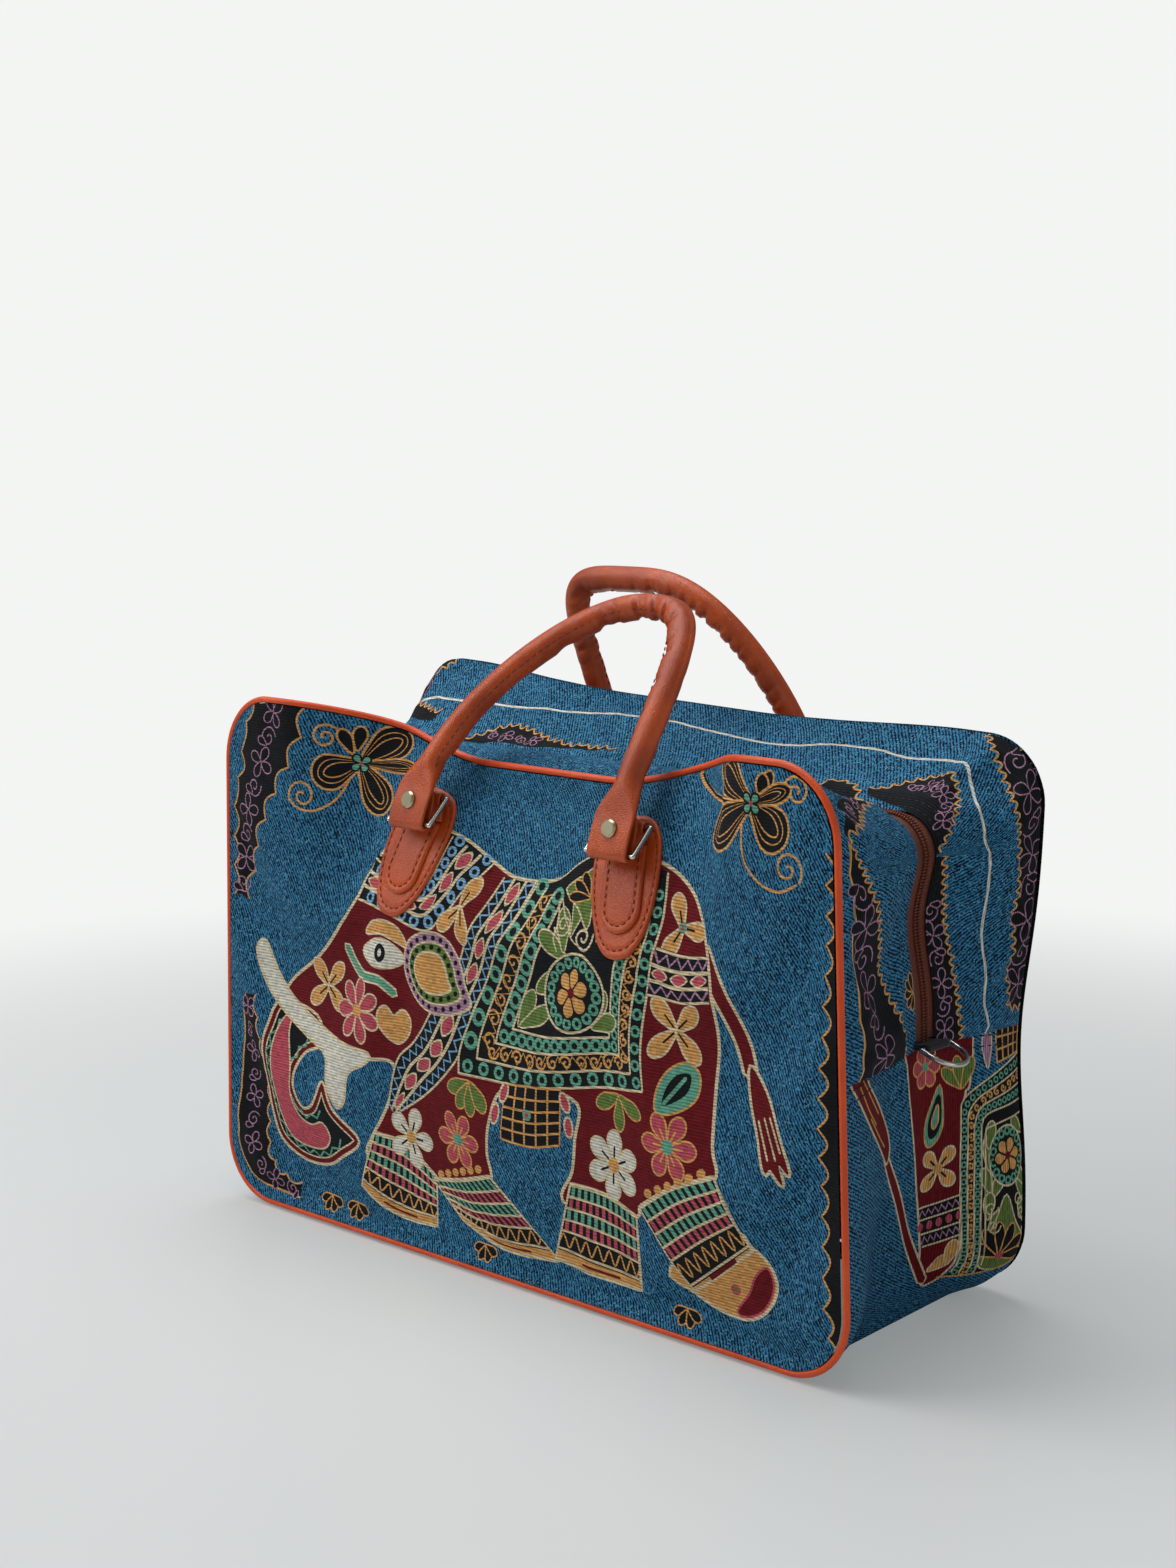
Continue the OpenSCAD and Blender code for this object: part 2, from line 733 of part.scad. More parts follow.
module rivet(side, hand) {
    shank = fold_r + strap_t / 2 + seam_gap;
    color(steel) rivet_axis(side, hand) {
        cylinder(h = 2 * shank, r = 2 - run_gap, center = true, $fn = 32);
        translate([0, 0, shank]) cylinder(h = 1.1, r1 = rivet_d / 2, r2 = rivet_d / 2 - 0.9, $fn = 48);
        translate([0, 0, -shank - 0.8]) cylinder(h = 0.8, r = rivet_d / 2 - 1.5, $fn = 48);
    }
}

panel(FRONT);  // front_panel
panel(BACK);  // back_panel
piping(FRONT);  // front_piping
piping(BACK);  // back_piping
zip_strip(FRONT);  // front_zip_strip
zip_strip(BACK);  // back_zip_strip
base_gusset();
zip_tape(FRONT);  // front_zip_tape
zip_tape(BACK);  // back_zip_tape
zip_coil(FRONT);  // front_zip_coil
zip_coil(BACK);  // back_zip_coil
zip_slider(LEFT);  // left_zip_slider
zip_slider(RIGHT);  // right_zip_slider
zip_pull(LEFT);  // left_zip_pull
zip_pull(RIGHT);  // right_zip_pull
web_loop(LEFT);  // left_web_loop
web_loop(RIGHT);  // right_web_loop
d_ring(LEFT);  // left_d_ring
d_ring(RIGHT);  // right_d_ring
patch(FRONT, LEFT);  // front_left_patch
patch(FRONT, RIGHT);  // front_right_patch
patch(BACK, LEFT);  // back_left_patch
patch(BACK, RIGHT);  // back_right_patch
tongue(FRONT, LEFT);  // front_left_tongue
tongue(FRONT, RIGHT);  // front_right_tongue
tongue(BACK, LEFT);  // back_left_tongue
tongue(BACK, RIGHT);  // back_right_tongue
wire_ring(FRONT, LEFT);  // front_left_ring
wire_ring(FRONT, RIGHT);  // front_right_ring
wire_ring(BACK, LEFT);  // back_left_ring
wire_ring(BACK, RIGHT);  // back_right_ring
rivet(FRONT, LEFT);  // front_left_rivet
rivet(FRONT, RIGHT);  // front_right_rivet
rivet(BACK, LEFT);  // back_left_rivet
rivet(BACK, RIGHT);  // back_right_rivet
handle(FRONT);  // front_handle
handle(BACK);  // back_handle
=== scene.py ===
"""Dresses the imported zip-top laptop bag: woven cloth, piping, leather, zip, webbing and steel."""
import logging
import math
from dataclasses import dataclass, field
from enum import Enum
from typing import Callable, Sequence

import bmesh
import bpy
import numpy as np
from mathutils import Matrix, Vector, geometry


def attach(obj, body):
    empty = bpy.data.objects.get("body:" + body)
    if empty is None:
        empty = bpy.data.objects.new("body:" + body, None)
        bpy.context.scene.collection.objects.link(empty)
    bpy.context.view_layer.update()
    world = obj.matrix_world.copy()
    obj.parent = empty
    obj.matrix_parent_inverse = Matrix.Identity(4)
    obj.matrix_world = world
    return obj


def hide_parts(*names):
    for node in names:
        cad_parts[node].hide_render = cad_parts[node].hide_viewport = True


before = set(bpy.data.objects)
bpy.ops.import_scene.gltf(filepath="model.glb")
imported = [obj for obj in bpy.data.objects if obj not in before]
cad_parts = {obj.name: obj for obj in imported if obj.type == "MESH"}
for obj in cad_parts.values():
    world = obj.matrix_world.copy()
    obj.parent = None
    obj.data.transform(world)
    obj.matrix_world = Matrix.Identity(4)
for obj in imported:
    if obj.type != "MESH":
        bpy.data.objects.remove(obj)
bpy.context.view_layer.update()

MM = 0.001
UV_PER_MM = 0.01
log = logging.getLogger("laptop_bag")

Array = np.ndarray
Flat = Array
Space = Array
Pair = tuple[float, float]
Triple = tuple[float, float, float]
Colour = tuple[float, float, float, float]
Spot = Sequence[float]
Points = Sequence[Spot] | str
Surface = Callable[[Flat], Space]
Mesh = bmesh.types.BMesh
Material = bpy.types.Material
Object = bpy.types.Object

# Stitches as pitch, length and thickness of the thread in millimetres
CLOTH_STITCH: Triple = (4.0, 3.0, 0.8)
TAB_STITCH: Triple = (4.2, 3.0, 0.8)
HANDLE_STITCH: Triple = (4.4, 3.3, 0.9)


class Placed(Enum):
    """A choice of place whose members name pieces."""

    @property
    def word(self) -> str:
        """The member's name as it stands in the names of pieces."""
        return self.name.lower()


class Side(Placed):
    """The two faces of the bag, by their direction along Y."""

    FRONT = -1
    BACK = 1


class Hand(Placed):
    """The two ends of the bag, by their direction along X."""

    LEFT = -1
    RIGHT = 1


class Dye(Enum):
    """Yarn colours of the woven cloth, as sRGB values from 0 to 255."""

    INDIGO = (42, 84, 112)
    MAROON = (112, 20, 28)
    CREAM = (224, 206, 168)
    CHALK = (226, 222, 208)
    GOLD = (222, 164, 96)
    ROSE = (196, 84, 98)
    MINT = (104, 172, 146)
    OLIVE = (104, 130, 66)
    SKY = (128, 178, 216)
    LILAC = (178, 134, 164)
    INK = (22, 24, 28)

    def linear(self) -> Colour:
        """Linear colour, with an alpha of 0 on the ground and 1 on the figure's yarns."""
        return (*(srgb(c / 255) for c in self.value), 0.0 if self is Dye.INDIGO else 1.0)


INDIGO, MAROON, CREAM, CHALK, GOLD, ROSE, MINT, OLIVE, SKY, LILAC, INK = Dye


class Trim(Enum):
    """Ornaments that fill the stripes of a band."""

    DIAMONDS, SCROLL, SQUIGGLE, SKY_TEETH, LILAC_TEETH, SKY_RINGS, MINT_RINGS, MINT_BARS, ROSE_BARS = range(9)


def srgb(c: float) -> float:
    """Linear value of one sRGB channel from 0 to 1."""
    return c / 12.92 if c <= 0.04045 else ((c + 0.055) / 1.055) ** 2.4


def colour(code: str) -> Colour:
    """Linear colour of a six-digit sRGB code."""
    return (*(srgb(int(code[i:i + 2], 16) / 255) for i in (0, 2, 4)), 1.0)


def smooth(t: Array | float) -> Array:
    """Smooth step from 0 to 1."""
    c = np.clip(t, 0.0, 1.0)
    return c * c * (3 - 2 * c)


def unit(v: Array) -> Array:
    """Vectors of length one, along the last axis."""
    return v / np.maximum(np.linalg.norm(v, axis=-1, keepdims=True), 1e-9)


def length(path: Array) -> float:
    """Length of a path of points."""
    return float(np.linalg.norm(np.diff(path, axis=0), axis=1).sum())


def run_of(path: Array) -> Array:
    """Distance from a path's start to each of its points."""
    return np.concatenate([[0], np.cumsum(np.linalg.norm(np.diff(path, axis=0), axis=1))])


def upright(out: Flat) -> Space:
    """Flat directions of a panel as directions in space."""
    return np.stack([out[..., 0], np.zeros(out.shape[:-1]), out[..., 1]], axis=-1)


# Shape of the bag


@dataclass(frozen=True)
class BagForm:
    """Sizes of the bag in millimetres, and the smooth surfaces that the solids follow."""

    panel_w: float = 453
    panel_h: float = 289
    bag_d: float = 166
    corner_r: float = 34
    panel_t: float = 3
    front_taper: float = 20
    back_taper: float = 16
    back_waist: float = 16
    crown: float = 5
    lean_drop: float = 110
    lean: Pair = (40, 9)
    sag: Pair = (27, 5)
    tilt: Pair = (4, 18)
    base_lift: float = 5.2
    seam_v: float = 142
    lean_v: float = 179
    tab_v: float = 222
    zip_drop: float = 147
    zip_w: float = 409
    zip_top: float = 256
    zip_r: float = 20
    zip_slit: float = 0.6
    tape_w: float = 10
    side_fold: float = 22
    low_fold: float = 0.6
    zip_back: float = 10
    zip_dent: float = 6
    zip_cover: float = 3
    strip_swell: float = 3
    gap: float = 0.3
    # Half width of the full effect from the middle, and the width over which it fades
    lean_fade: Pair = (105, 75)
    sag_fade: Pair = (45, 135)
    lean_ease: float = 0.16
    sag_power: float = 2.5
    waist_drop: float = 6
    waist_h: float = 58
    dent_foot: float = 6
    dent_h: float = 92
    low_fold_v: float = 20
    low_fold_h: float = 90

    def of(self, pair: Pair, side: Side) -> float:
        """The front's or the back's value of a pair."""
        return pair[0] if side is Side.FRONT else pair[1]

    def fade(self, x: Array, full: float, width: float) -> Array:
        """Share left at a distance from the middle."""
        return 1 - smooth((np.abs(x) - full) / width)

    def panel(self, side: Side, p: Flat, depth: float | Array = 0.0) -> Space:
        """Points of a panel.

        Args:
            side: Which panel.
            p: Flat places as rows of x and v.
            depth: Distance below the outer face.

        Returns:
            Points in millimetres.
        """
        x, v = p[..., 0], p[..., 1]
        up = np.maximum(0, v - self.lean_v) / self.lean_drop
        bow = self.crown * (1 - (2 * x / self.panel_w) ** 2) * np.sin(
            math.pi * np.clip(v / self.lean_v, 0, 1)) ** 2
        # The bend at the foot of the leaning stretch is eased over a few centimetres
        eased = np.where(up < self.lean_ease, up * smooth(up / self.lean_ease) * 0.5 + up * 0.5, up)
        lean = self.of(self.lean, side) * eased * self.fade(x, *self.lean_fade)
        waist = self.back_waist * np.exp(-((v - self.seam_v + self.waist_drop) / self.waist_h) ** 2)
        tapers = (self.front_taper * v / self.panel_h, self.back_taper * (1 - v / self.panel_h) + waist)
        rise = self.of(self.tilt, side) * (0.5 - x / self.panel_w) * np.maximum(0, v - self.seam_v) / self.zip_drop
        drop = self.of(self.sag, side) * self.fade(x, *self.sag_fade) * up ** self.sag_power
        return np.stack([
            x * (1 - self.of(tapers, side) / self.panel_w),
            side.value * (self.bag_d / 2 + bow - lean - depth),
            self.base_lift + v + rise - drop,
        ], axis=-1)

    @property
    def rim_spans(self) -> list[float]:
        """Lengths of the eight stretches of a panel's rim, up the right side first."""
        arc = math.pi * self.corner_r / 2
        up, over = self.panel_h - 2 * self.corner_r, self.panel_w - 2 * self.corner_r
        return [up, arc, over, arc, up, arc, over, arc]

    def rim(self, s: Array) -> tuple[Flat, Flat]:
        """Flat places on a panel's rim.

        Args:
            s: Distances along the rim from the foot of the right straight side.

        Returns:
            Flat places and flat outward normals.
        """
        spans, r = self.rim_spans, self.corner_r
        s = np.mod(np.asarray(s, float), sum(spans))
        hx, top = self.panel_w / 2, self.panel_h
        place, out = np.zeros(s.shape + (2,)), np.zeros(s.shape + (2,))
        corners = [(hx, r), (hx, top - r), (hx - r, top), (r - hx, top),
                   (-hx, top - r), (-hx, r), (r - hx, 0), (hx - r, 0)]
        begin = 0.0
        for k, span in enumerate(spans):
            here = (s >= begin) & (s <= begin + span)
            t = (s[here] - begin) / span
            turn = math.pi / 2 * (k // 2)
            if k % 2 == 0:
                a, b = np.array(corners[k]), np.array(corners[(k + 1) % 8])
                place[here] = a + (b - a) * t[:, None]
                out[here] = (math.cos(turn), math.sin(turn))
            else:
                angle = turn + t * math.pi / 2
                normal = np.stack([np.cos(angle), np.sin(angle)], axis=-1)
                core = np.array(corners[k]) - r * np.array([math.cos(turn), math.sin(turn)])
                place[here], out[here] = core + r * normal, normal
            begin += span
        return place, out

    @property
    def above(self) -> Pair:
        """Stretch of the rim above the seam, from the right end to the left."""
        spans = self.rim_spans
        start = self.seam_v - self.corner_r
        return start, 2 * spans[0] + 2 * spans[1] + spans[2] - start

    @property
    def below(self) -> Pair:
        """Stretch of the rim below the seam, from the left end to the right."""
        start, end = self.above
        return end, sum(self.rim_spans) + start

    def dent(self, v: Array) -> Array:
        """How far the zip sinks between the strips on the bag's ends, by its height."""
        rise = np.clip((v - self.seam_v - self.dent_foot) / self.dent_h, 0, 1)
        return self.zip_dent * np.sin(math.pi * rise ** 1.4) ** 2

    def zip_place(self, p: Flat, out: Flat) -> Flat:
        """Places on the zip's path that face places on the rim."""
        half = self.zip_w / 2 - self.zip_r
        inset = self.panel_w / 2 - self.corner_r
        core_x = np.clip(np.clip(p[..., 0], -inset, inset), -half, half)
        core_v = np.minimum(np.clip(p[..., 1], self.corner_r, self.panel_h - self.corner_r), self.zip_top - self.zip_r)
        place = np.stack([core_x, core_v], axis=-1) + self.zip_r * out
        place[..., 0] -= np.sign(place[..., 0]) * self.dent(place[..., 1])
        return place

    def strip(self, side: Side, q: Flat, sunk: float = 0.0) -> Space:
        """Points of a zip strip.

        Args:
            side: Which strip.
            q: Rows of distance along the rim and share of the way from the rim to the zip.
            sunk: Distance below the outer face.

        Returns:
            Points in millimetres.
        """
        p, out = self.rim(q[..., 0])
        t = q[..., 1:2]
        x = np.abs(p[..., 0])
        room = 1.7 * smooth((x - 70) / 35) * (1 - smooth((x - 185) / 30))
        start = self.panel(side, p - out * sunk, self.panel_t + self.gap + room)
        place = self.zip_place(p, out)
        reach = side.value * (self.tape_w + self.zip_slit + self.gap - self.zip_cover)
        end = np.stack([place[..., 0], np.full(place.shape[:-1], self.zip_back + reach),
                        self.base_lift + place[..., 1]], axis=-1)
        normal = upright(out)
        swell = self.strip_swell + 0.55 * self.of(self.sag, side) * self.fade(p[..., 0], *self.sag_fade) * smooth(
            (p[..., 1] - self.panel_h + self.corner_r) / self.corner_r)
        return start + (end - normal * sunk - start) * t + normal * (swell[..., None] * 4 * t * (1 - t) + 0.8 * t ** 4)

    def gusset(self, q: Flat, sunk: float = 0.0) -> Space:
        """Points of the base gusset.

        Args:
            q: Rows of distance along the rim and share of the way from front to back.
            sunk: Distance below the outer face.

        Returns:
            Points in millimetres.
        """
        p, out = self.rim(q[..., 0])
        t = q[..., 1:2]
        front = self.panel(Side.FRONT, p - out * sunk, self.panel_t + self.gap)
        back = self.panel(Side.BACK, p - out * sunk, self.panel_t + self.gap)
        normal = upright(out)
        standing = np.where(p[..., 1:2] > self.corner_r, 1.0, np.abs(out[..., :1]) ** 0.6)
        foot = smooth(t / 0.07) * smooth((1 - t) / 0.07)
        fold = smooth(1.12 * (1 - np.abs(2 * t - 1))) * (1 + self.low_fold * (1 - smooth(
            (p[..., 1:2] - self.low_fold_v) / self.low_fold_h)))
        across = t + self.zip_back / (self.bag_d - 2 * self.panel_t) * (1 - (2 * t - 1) ** 2)
        inward = -np.sign(out[..., :1]) * np.array([1.0, 0, 0])
        return (front + (back - front) * across + normal * ((1 - standing) * self.base_lift * foot)
                + inward * (standing * self.side_fold * fold))


FORM = BagForm()


# Drawing of the woven figure


def pts(points: Points) -> Flat:
    """Flat places of rows of x and y, or of a text of x,y pairs."""
    return np.array([pair.split(",") for pair in points.split()] if isinstance(points, str) else points, float)


def ray(turn: float) -> Flat:
    """Flat direction at a turn in degrees."""
    return np.array([math.cos(math.radians(turn)), math.sin(math.radians(turn))])


def beside(path: Flat) -> Flat:
    """Flat directions to the left of a path."""
    d = unit(np.gradient(path, axis=0))
    return np.stack([-d[:, 1], d[:, 0]], axis=1)


def spline(points: Points, closed: bool = False, steps: int = 5) -> Flat:
    """Smooth curve through flat points.

    Args:
        points: The places it passes.
        closed: Whether it returns to its start.
        steps: Pieces between two places.

    Returns:
        Rows of places along the curve.
    """
    p = pts(points)
    q = np.vstack([p[-1], p, p[:2]]) if closed else np.vstack([2 * p[0] - p[1], p, 2 * p[-1] - p[-2]])
    t = np.linspace(0, 1, steps, endpoint=False)[:, None]
    rows = []
    for i in range(len(q) - 3):
        a, b, c, d = q[i:i + 4]
        rows.append(0.5 * (2 * b + (c - a) * t + (2 * a - 5 * b + 4 * c - d) * t ** 2
                           + (3 * b - a - 3 * c + d) * t ** 3))
    return np.vstack(rows if closed else rows + [p[-1:]])


def along(path: Flat, count: int) -> Flat:
    """Places at even distances along a path, both ends among them."""
    run = run_of(path)
    at = np.linspace(0, run[-1], count)
    return np.stack([np.interp(at, run, path[:, k]) for k in range(path.shape[1])], axis=1)


def grown(loop: Flat, by: float) -> Flat:
    """Closed outline moved outward by a distance."""
    p = loop if turning(loop) > 0 else loop[::-1]
    d = unit(np.roll(p, -1, 0) - p)
    n = np.stack([d[:, 1], -d[:, 0]], axis=1)
    return p + by * unit(n + np.roll(n, 1, 0))


def turning(loop: Flat) -> float:
    """Signed area of a closed outline, above zero where it runs counter-clockwise."""
    nxt = np.roll(loop, -1, 0)
    return 0.5 * float(np.sum(loop[:, 0] * nxt[:, 1] - nxt[:, 0] * loop[:, 1]))


class Ribbon:
    """Band between two flat curves, with a share t along it and w across it."""

    def __init__(self, a: Points, b: Points, count: int = 40) -> None:
        """Band from curve a (w = 0) to curve b (w = 1)."""
        self.a, self.b = along(spline(a), count), along(spline(b), count)
        self.t = np.linspace(0, 1, count)

    def at(self, t: Array | float, w: Array | float) -> Flat:
        """Places in the band."""
        a = np.stack([np.interp(t, self.t, self.a[:, k]) for k in (0, 1)], axis=-1)
        b = np.stack([np.interp(t, self.t, self.b[:, k]) for k in (0, 1)], axis=-1)
        return a + (b - a) * np.asarray(w, float)[..., None]

    def path(self, w: float, low: float = 0.0, high: float = 1.0) -> Flat:
        """Line along the band."""
        return self.at(np.linspace(low, high, 40), np.full(40, w))

    def field(self, w0: float, w1: float, low: float = 0.0, high: float = 1.0) -> Flat:
        """Outline of a part of the band."""
        return np.vstack([self.path(w0, low, high), self.path(w1, low, high)[::-1]])


@dataclass
class Drawing:
    """Fields of yarn colour on flat cloth, the later ones over the earlier."""

    ground: Dye = INDIGO
    shapes: list[tuple[Flat, Dye]] = field(default_factory=list)

    def fill(self, loop: Flat, dye: Dye) -> None:
        """Adds one closed field."""
        loop = np.asarray(loop, float)
        self.shapes.append((loop if turning(loop) > 0 else loop[::-1], dye))

    def blob(self, points: Points, dye: Dye, edge: Dye | None = None, width: float = 1.6,
             steps: int = 4) -> None:
        """Adds a smooth field through points, with an outline of its own colour."""
        loop = spline(points, True, steps)
        if edge:
            self.fill(grown(loop, width), edge)
        self.fill(loop, dye)

    def stroke(self, points: Points, dye: Dye, width: float = 1.5, steps: int = 5) -> None:
        """Adds a line of even width through points, smooth where steps is above 1."""
        p = spline(points, False, steps) if steps > 1 else pts(points)
        d = unit(np.gradient(p, axis=0))
        n = beside(p) * width / 2
        ends = [p[:1] - d[:1] * width / 2, p[-1:] + d[-1:] * width / 2]
        self.fill(np.vstack([ends[0], p + n, ends[1], (p - n)[::-1]]), dye)

    def oval(self, centre: Spot, rx: float, ry: float, dye: Dye, turn: float = 0.0, count: int = 14) -> None:
        """Adds an oval field."""
        a = np.linspace(0, 2 * math.pi, count, endpoint=False)
        c, s = ray(turn)
        x, y = rx * np.cos(a), ry * np.sin(a)
        self.fill(np.stack([centre[0] + c * x - s * y, centre[1] + s * x + c * y], axis=1), dye)

    def petal(self, root: Spot, size: float, width: float, turn: float, dye: Dye,
              edge: Dye | None = None, rim: float = 1.1) -> None:
        """Adds a drop-shaped field that points away from its root."""
        u = pts("0,0 0.3,0.3 0.62,0.5 0.88,0.36 1,0 0.88,-0.36 0.62,-0.5 0.3,-0.3")
        c, s = ray(turn)
        p = u * [size, width] @ np.array([[c, s], [-s, c]]) + np.asarray(root, float)
        self.blob(p, dye, edge, rim, 3)

    def flower(self, centre: Spot, radius: float, count: int, dye: Dye, edge: Dye, core: Dye,
               turn: float = 90.0, width: float = 0.62, vein: Dye | None = None) -> None:
        """Adds a rosette of petals round a core."""
        for k in range(count):
            angle = turn + 360 * k / count
            out = ray(angle) * radius
            self.petal(np.asarray(centre) + out * 0.12, radius * 0.88, radius * width, angle, dye, edge)
            if vein:
                self.stroke([np.asarray(centre) + out * f for f in (0.25, 0.55)], vein, 1.2, 1)
        self.oval(centre, radius * 0.22, radius * 0.22, core)

    def ring(self, centre: Spot, radius: float, dye: Dye, hole: Dye, share: float = 0.5) -> None:
        """Adds a disc with a hole."""
        self.oval(centre, radius, radius, dye, 0, 12)
        self.oval(centre, radius * share, radius * share, hole, 0, 8)

    def zigzag(self, path: Flat, height: float, count: int, dye: Dye, width: float = 1.3) -> None:
        """Adds a zigzag line along a path."""
        p = along(path, 2 * count + 1)
        sign = np.where(np.arange(len(p)) % 2 == 0, 0.5, -0.5)[:, None]
        self.stroke(p + beside(p) * sign * height, dye, width, 1)

    def squiggle(self, path: Flat, height: float, count: int, dye: Dye, width: float) -> None:
        """Adds a line of round bends that swings from side to side along a path."""
        t = np.linspace(0, 1, 8 * count + 1)
        p = along(path, len(t))
        self.stroke(p + beside(p) * (0.5 * height * np.sin(math.tau * count * t))[:, None], dye, width, 1)

    def curl(self, centre: Spot, radius: float, turns: float, start: float, dye: Dye,
             width: float = 1.3) -> None:
        """Adds a spiral line that closes in on its centre."""
        a = np.linspace(0, 2 * math.pi * abs(turns), int(14 * abs(turns)) + 2)
        r = radius * (1 - 0.86 * a / a[-1])
        angle = math.radians(start) + a * math.copysign(1, turns)
        self.stroke(np.stack([centre[0] + r * np.cos(angle), centre[1] + r * np.sin(angle)], axis=1), dye, width, 1)

    def scallops(self, path: Flat, count: int, depth: float, far: Flat, dye: Dye, edge: Dye) -> None:
        """Adds a band from a scalloped line to a far line, with an edge along the scallops."""
        p = along(path, 8 * count + 1)
        wave = 1 - np.abs(np.sin(np.linspace(0, math.pi * count, len(p))))[:, None]
        line = p + beside(p) * wave * depth
        self.fill(np.vstack([line, far[::-1]]), dye)
        self.stroke(line, edge, 1.1, 1)

    def sprigs(self, path: Flat, count: int, size: float, dye: Dye) -> None:
        """Adds thin-lined open flowers and scrolls by turns along a path."""
        p = along(np.asarray(path, float), count + 1)
        for k in range(count):
            c, step = (p[k] + p[k + 1]) / 2, p[k + 1] - p[k]
            lean = math.degrees(math.atan2(step[1], step[0]))
            if k % 2:
                self.curl(c, 0.44 * size, 1.4 if k % 4 == 1 else -1.4, lean + 120, dye, 0.8)
                self.petal(c + step * 0.3, size * 0.45, size * 0.24, lean - 100, INK, dye, 0.7)
            else:
                for j in range(4):
                    self.petal(c, 0.6 * size, 0.34 * size, lean + 45 + 90 * j + 17 * k, INK, dye, 0.7)


class ElephantCloth(Drawing):
    """Front panel's weave: a festival elephant in a saddle cloth, flower sprays and scalloped borders."""

    def draw(self) -> "ElephantCloth":
        """Draws every field in order."""
        for part in (self.borders, self.sprays, self.tail, self.body, self.head_dress, self.saddle, self.feet,
                     self.tusk_and_trunk, self.blossoms):
            part()
        return self

    def borders(self) -> None:
        """Draws the scalloped bands along both ends and the sprigs along the foot."""
        left = spline("-166,292 -168,278 -174,262 -184,246 -193,230 -202,212 -211,193 -216,178")
        far = spline("-201,292 -204,280 -210,266 -211,252 -216,238 -219,222 -219,206 -219,178")
        self.scallops(left, 7, 5, far, INK, GOLD)
        self.scallops(far[::-1], 7, 4, along(left, 12)[::-1] * 0.6 + along(far, 12)[::-1] * 0.4, INK, GOLD)
        self.sprigs((along(left, 30) + along(far, 30)) / 2, 8, 15, LILAC)
        low = spline("-203,122 -198,98 -196,72 -198,46 -195,28 -185,17 -168,12")
        out = spline("-210,122 -215,98 -218,72 -220,46 -217,24 -204,9 -168,6")
        self.scallops(low, 10, 3, out, INK, GOLD)
        self.stroke(along(out, 14), GOLD, 1.2, 2)
        self.sprigs((along(low, 30) + along(out, 30)) / 2, 10, 11, LILAC)
        right = spline("228,252 227,220 224,190 222,150 220,110 219,70 221,40 225,8")
        self.scallops(right[::-1], 17, 5, np.array([[230.0, 8], [230, 252]]), INK, GOLD)
        for x in (-140, -118, -15, 128):
            for k in range(4):
                self.petal((x, 13), 9, 4.4, 200 + 45 * k, INK, GOLD, 0.8)

    def spray(self, centre: Pair, petals: Sequence[Triple]) -> None:
        """Draws dark lined petals round a small mint eye."""
        for size, width, turn in petals:
            for share, dye in ((1.0, INK), (0.74, GOLD), (0.68, INK), (0.44, GOLD), (0.36, INK)):
                self.petal(centre, size * (0.92 + 0.08 * share) - (1 - share) * 8, width * share, turn, dye,
                           GOLD if share == 1 else None, 1.3)
        self.flower(centre, 5.5, 4, MINT, INK, ROSE, 45)

    def sprays(self) -> None:
        """Draws the two flower sprays and their tendrils at the upper corners."""
        self.stroke("-137,256 -140,246 -146,238 -156,233 -166,234 -172,239", GOLD, 1.3)
        self.curl((-163, 241), 9, -1.4, 200, GOLD)
        self.stroke("-136,266 -142,270 -146,279", GOLD, 1.3)
        self.curl((-152, 275), 8, 1.6, 0, GOLD)
        self.petal((-138, 268), 14, 6, 120, INK, GOLD)
        self.petal((-136, 270), 14, 6, 88, INK, GOLD)
        self.spray((-133, 262.5), [(34, 20, 48), (26, 19, 205), (34, 18, -52), (38, 8, 8)])
        self.stroke("172,264 171,252 174,242 184,234 196,232 206,236", GOLD, 1.3)
        self.curl((201, 243), 9, 1.4, -40, GOLD)
        self.curl((206, 279), 8, -1.6, 180, GOLD)
        self.stroke("182,274 190,276 198,279", GOLD, 1.3)
        self.petal((182, 274), 15, 6, 55, INK, GOLD)
        self.petal((184, 272), 13, 6, 85, INK, GOLD)
        self.stroke("172,270 150,270 132,273 118,280 112,288", GOLD, 3.6)
        self.stroke("168,270 150,270.4 132,273.6 119,280.5 114,287", INK, 1.6)
        self.spray((178, 271), [(40, 21, 150), (46, 20, 208), (27, 22, -40), (26, 8, 20)])

    def tail(self) -> None:
        """Draws the tail and its brush."""
        path = "141,196 150,184 159,171 166,157 171,142"
        self.stroke(path, CREAM, 11)
        self.stroke(path, MAROON, 7.2)
        self.blob("171,144 180,136 189,123 196,108 198,98 193,102 194,92 188,99 184,97 179,112 "
                  "173,127", MAROON, CREAM, 1.7)
        for a, b in (((182, 122), (191, 104)), ((178, 120), (186, 103)), ((186, 123), (194, 108))):
            self.stroke([a, b], CREAM, 1.3, 1)

    def body(self) -> None:
        """Draws the maroon head, body and legs with their pale outline."""
        self.blob("-118,186 -134,166 -150,151 -172,135 -176,122 -150,112 -120,104 -104,103 -88,104 -82,99 -85,84 "
                  "-92,70 -100,58 -104,46 -80,36 -54,44 -30,38 -8,52 -9,68 -6,86 2,104 30,112 58,106 56,86 53,68 "
                  "45,52 70,48 97,56 101,62 124,70 150,86 148,102 149,132 151,157 148,178 141,200 134,212 122,223 "
                  "100,233 70,236 46,229 30,217 0,214 -20,220 -47,231 -72,233 -96,222 "
                  "-110,204", MAROON, CREAM, 2.0, 5)

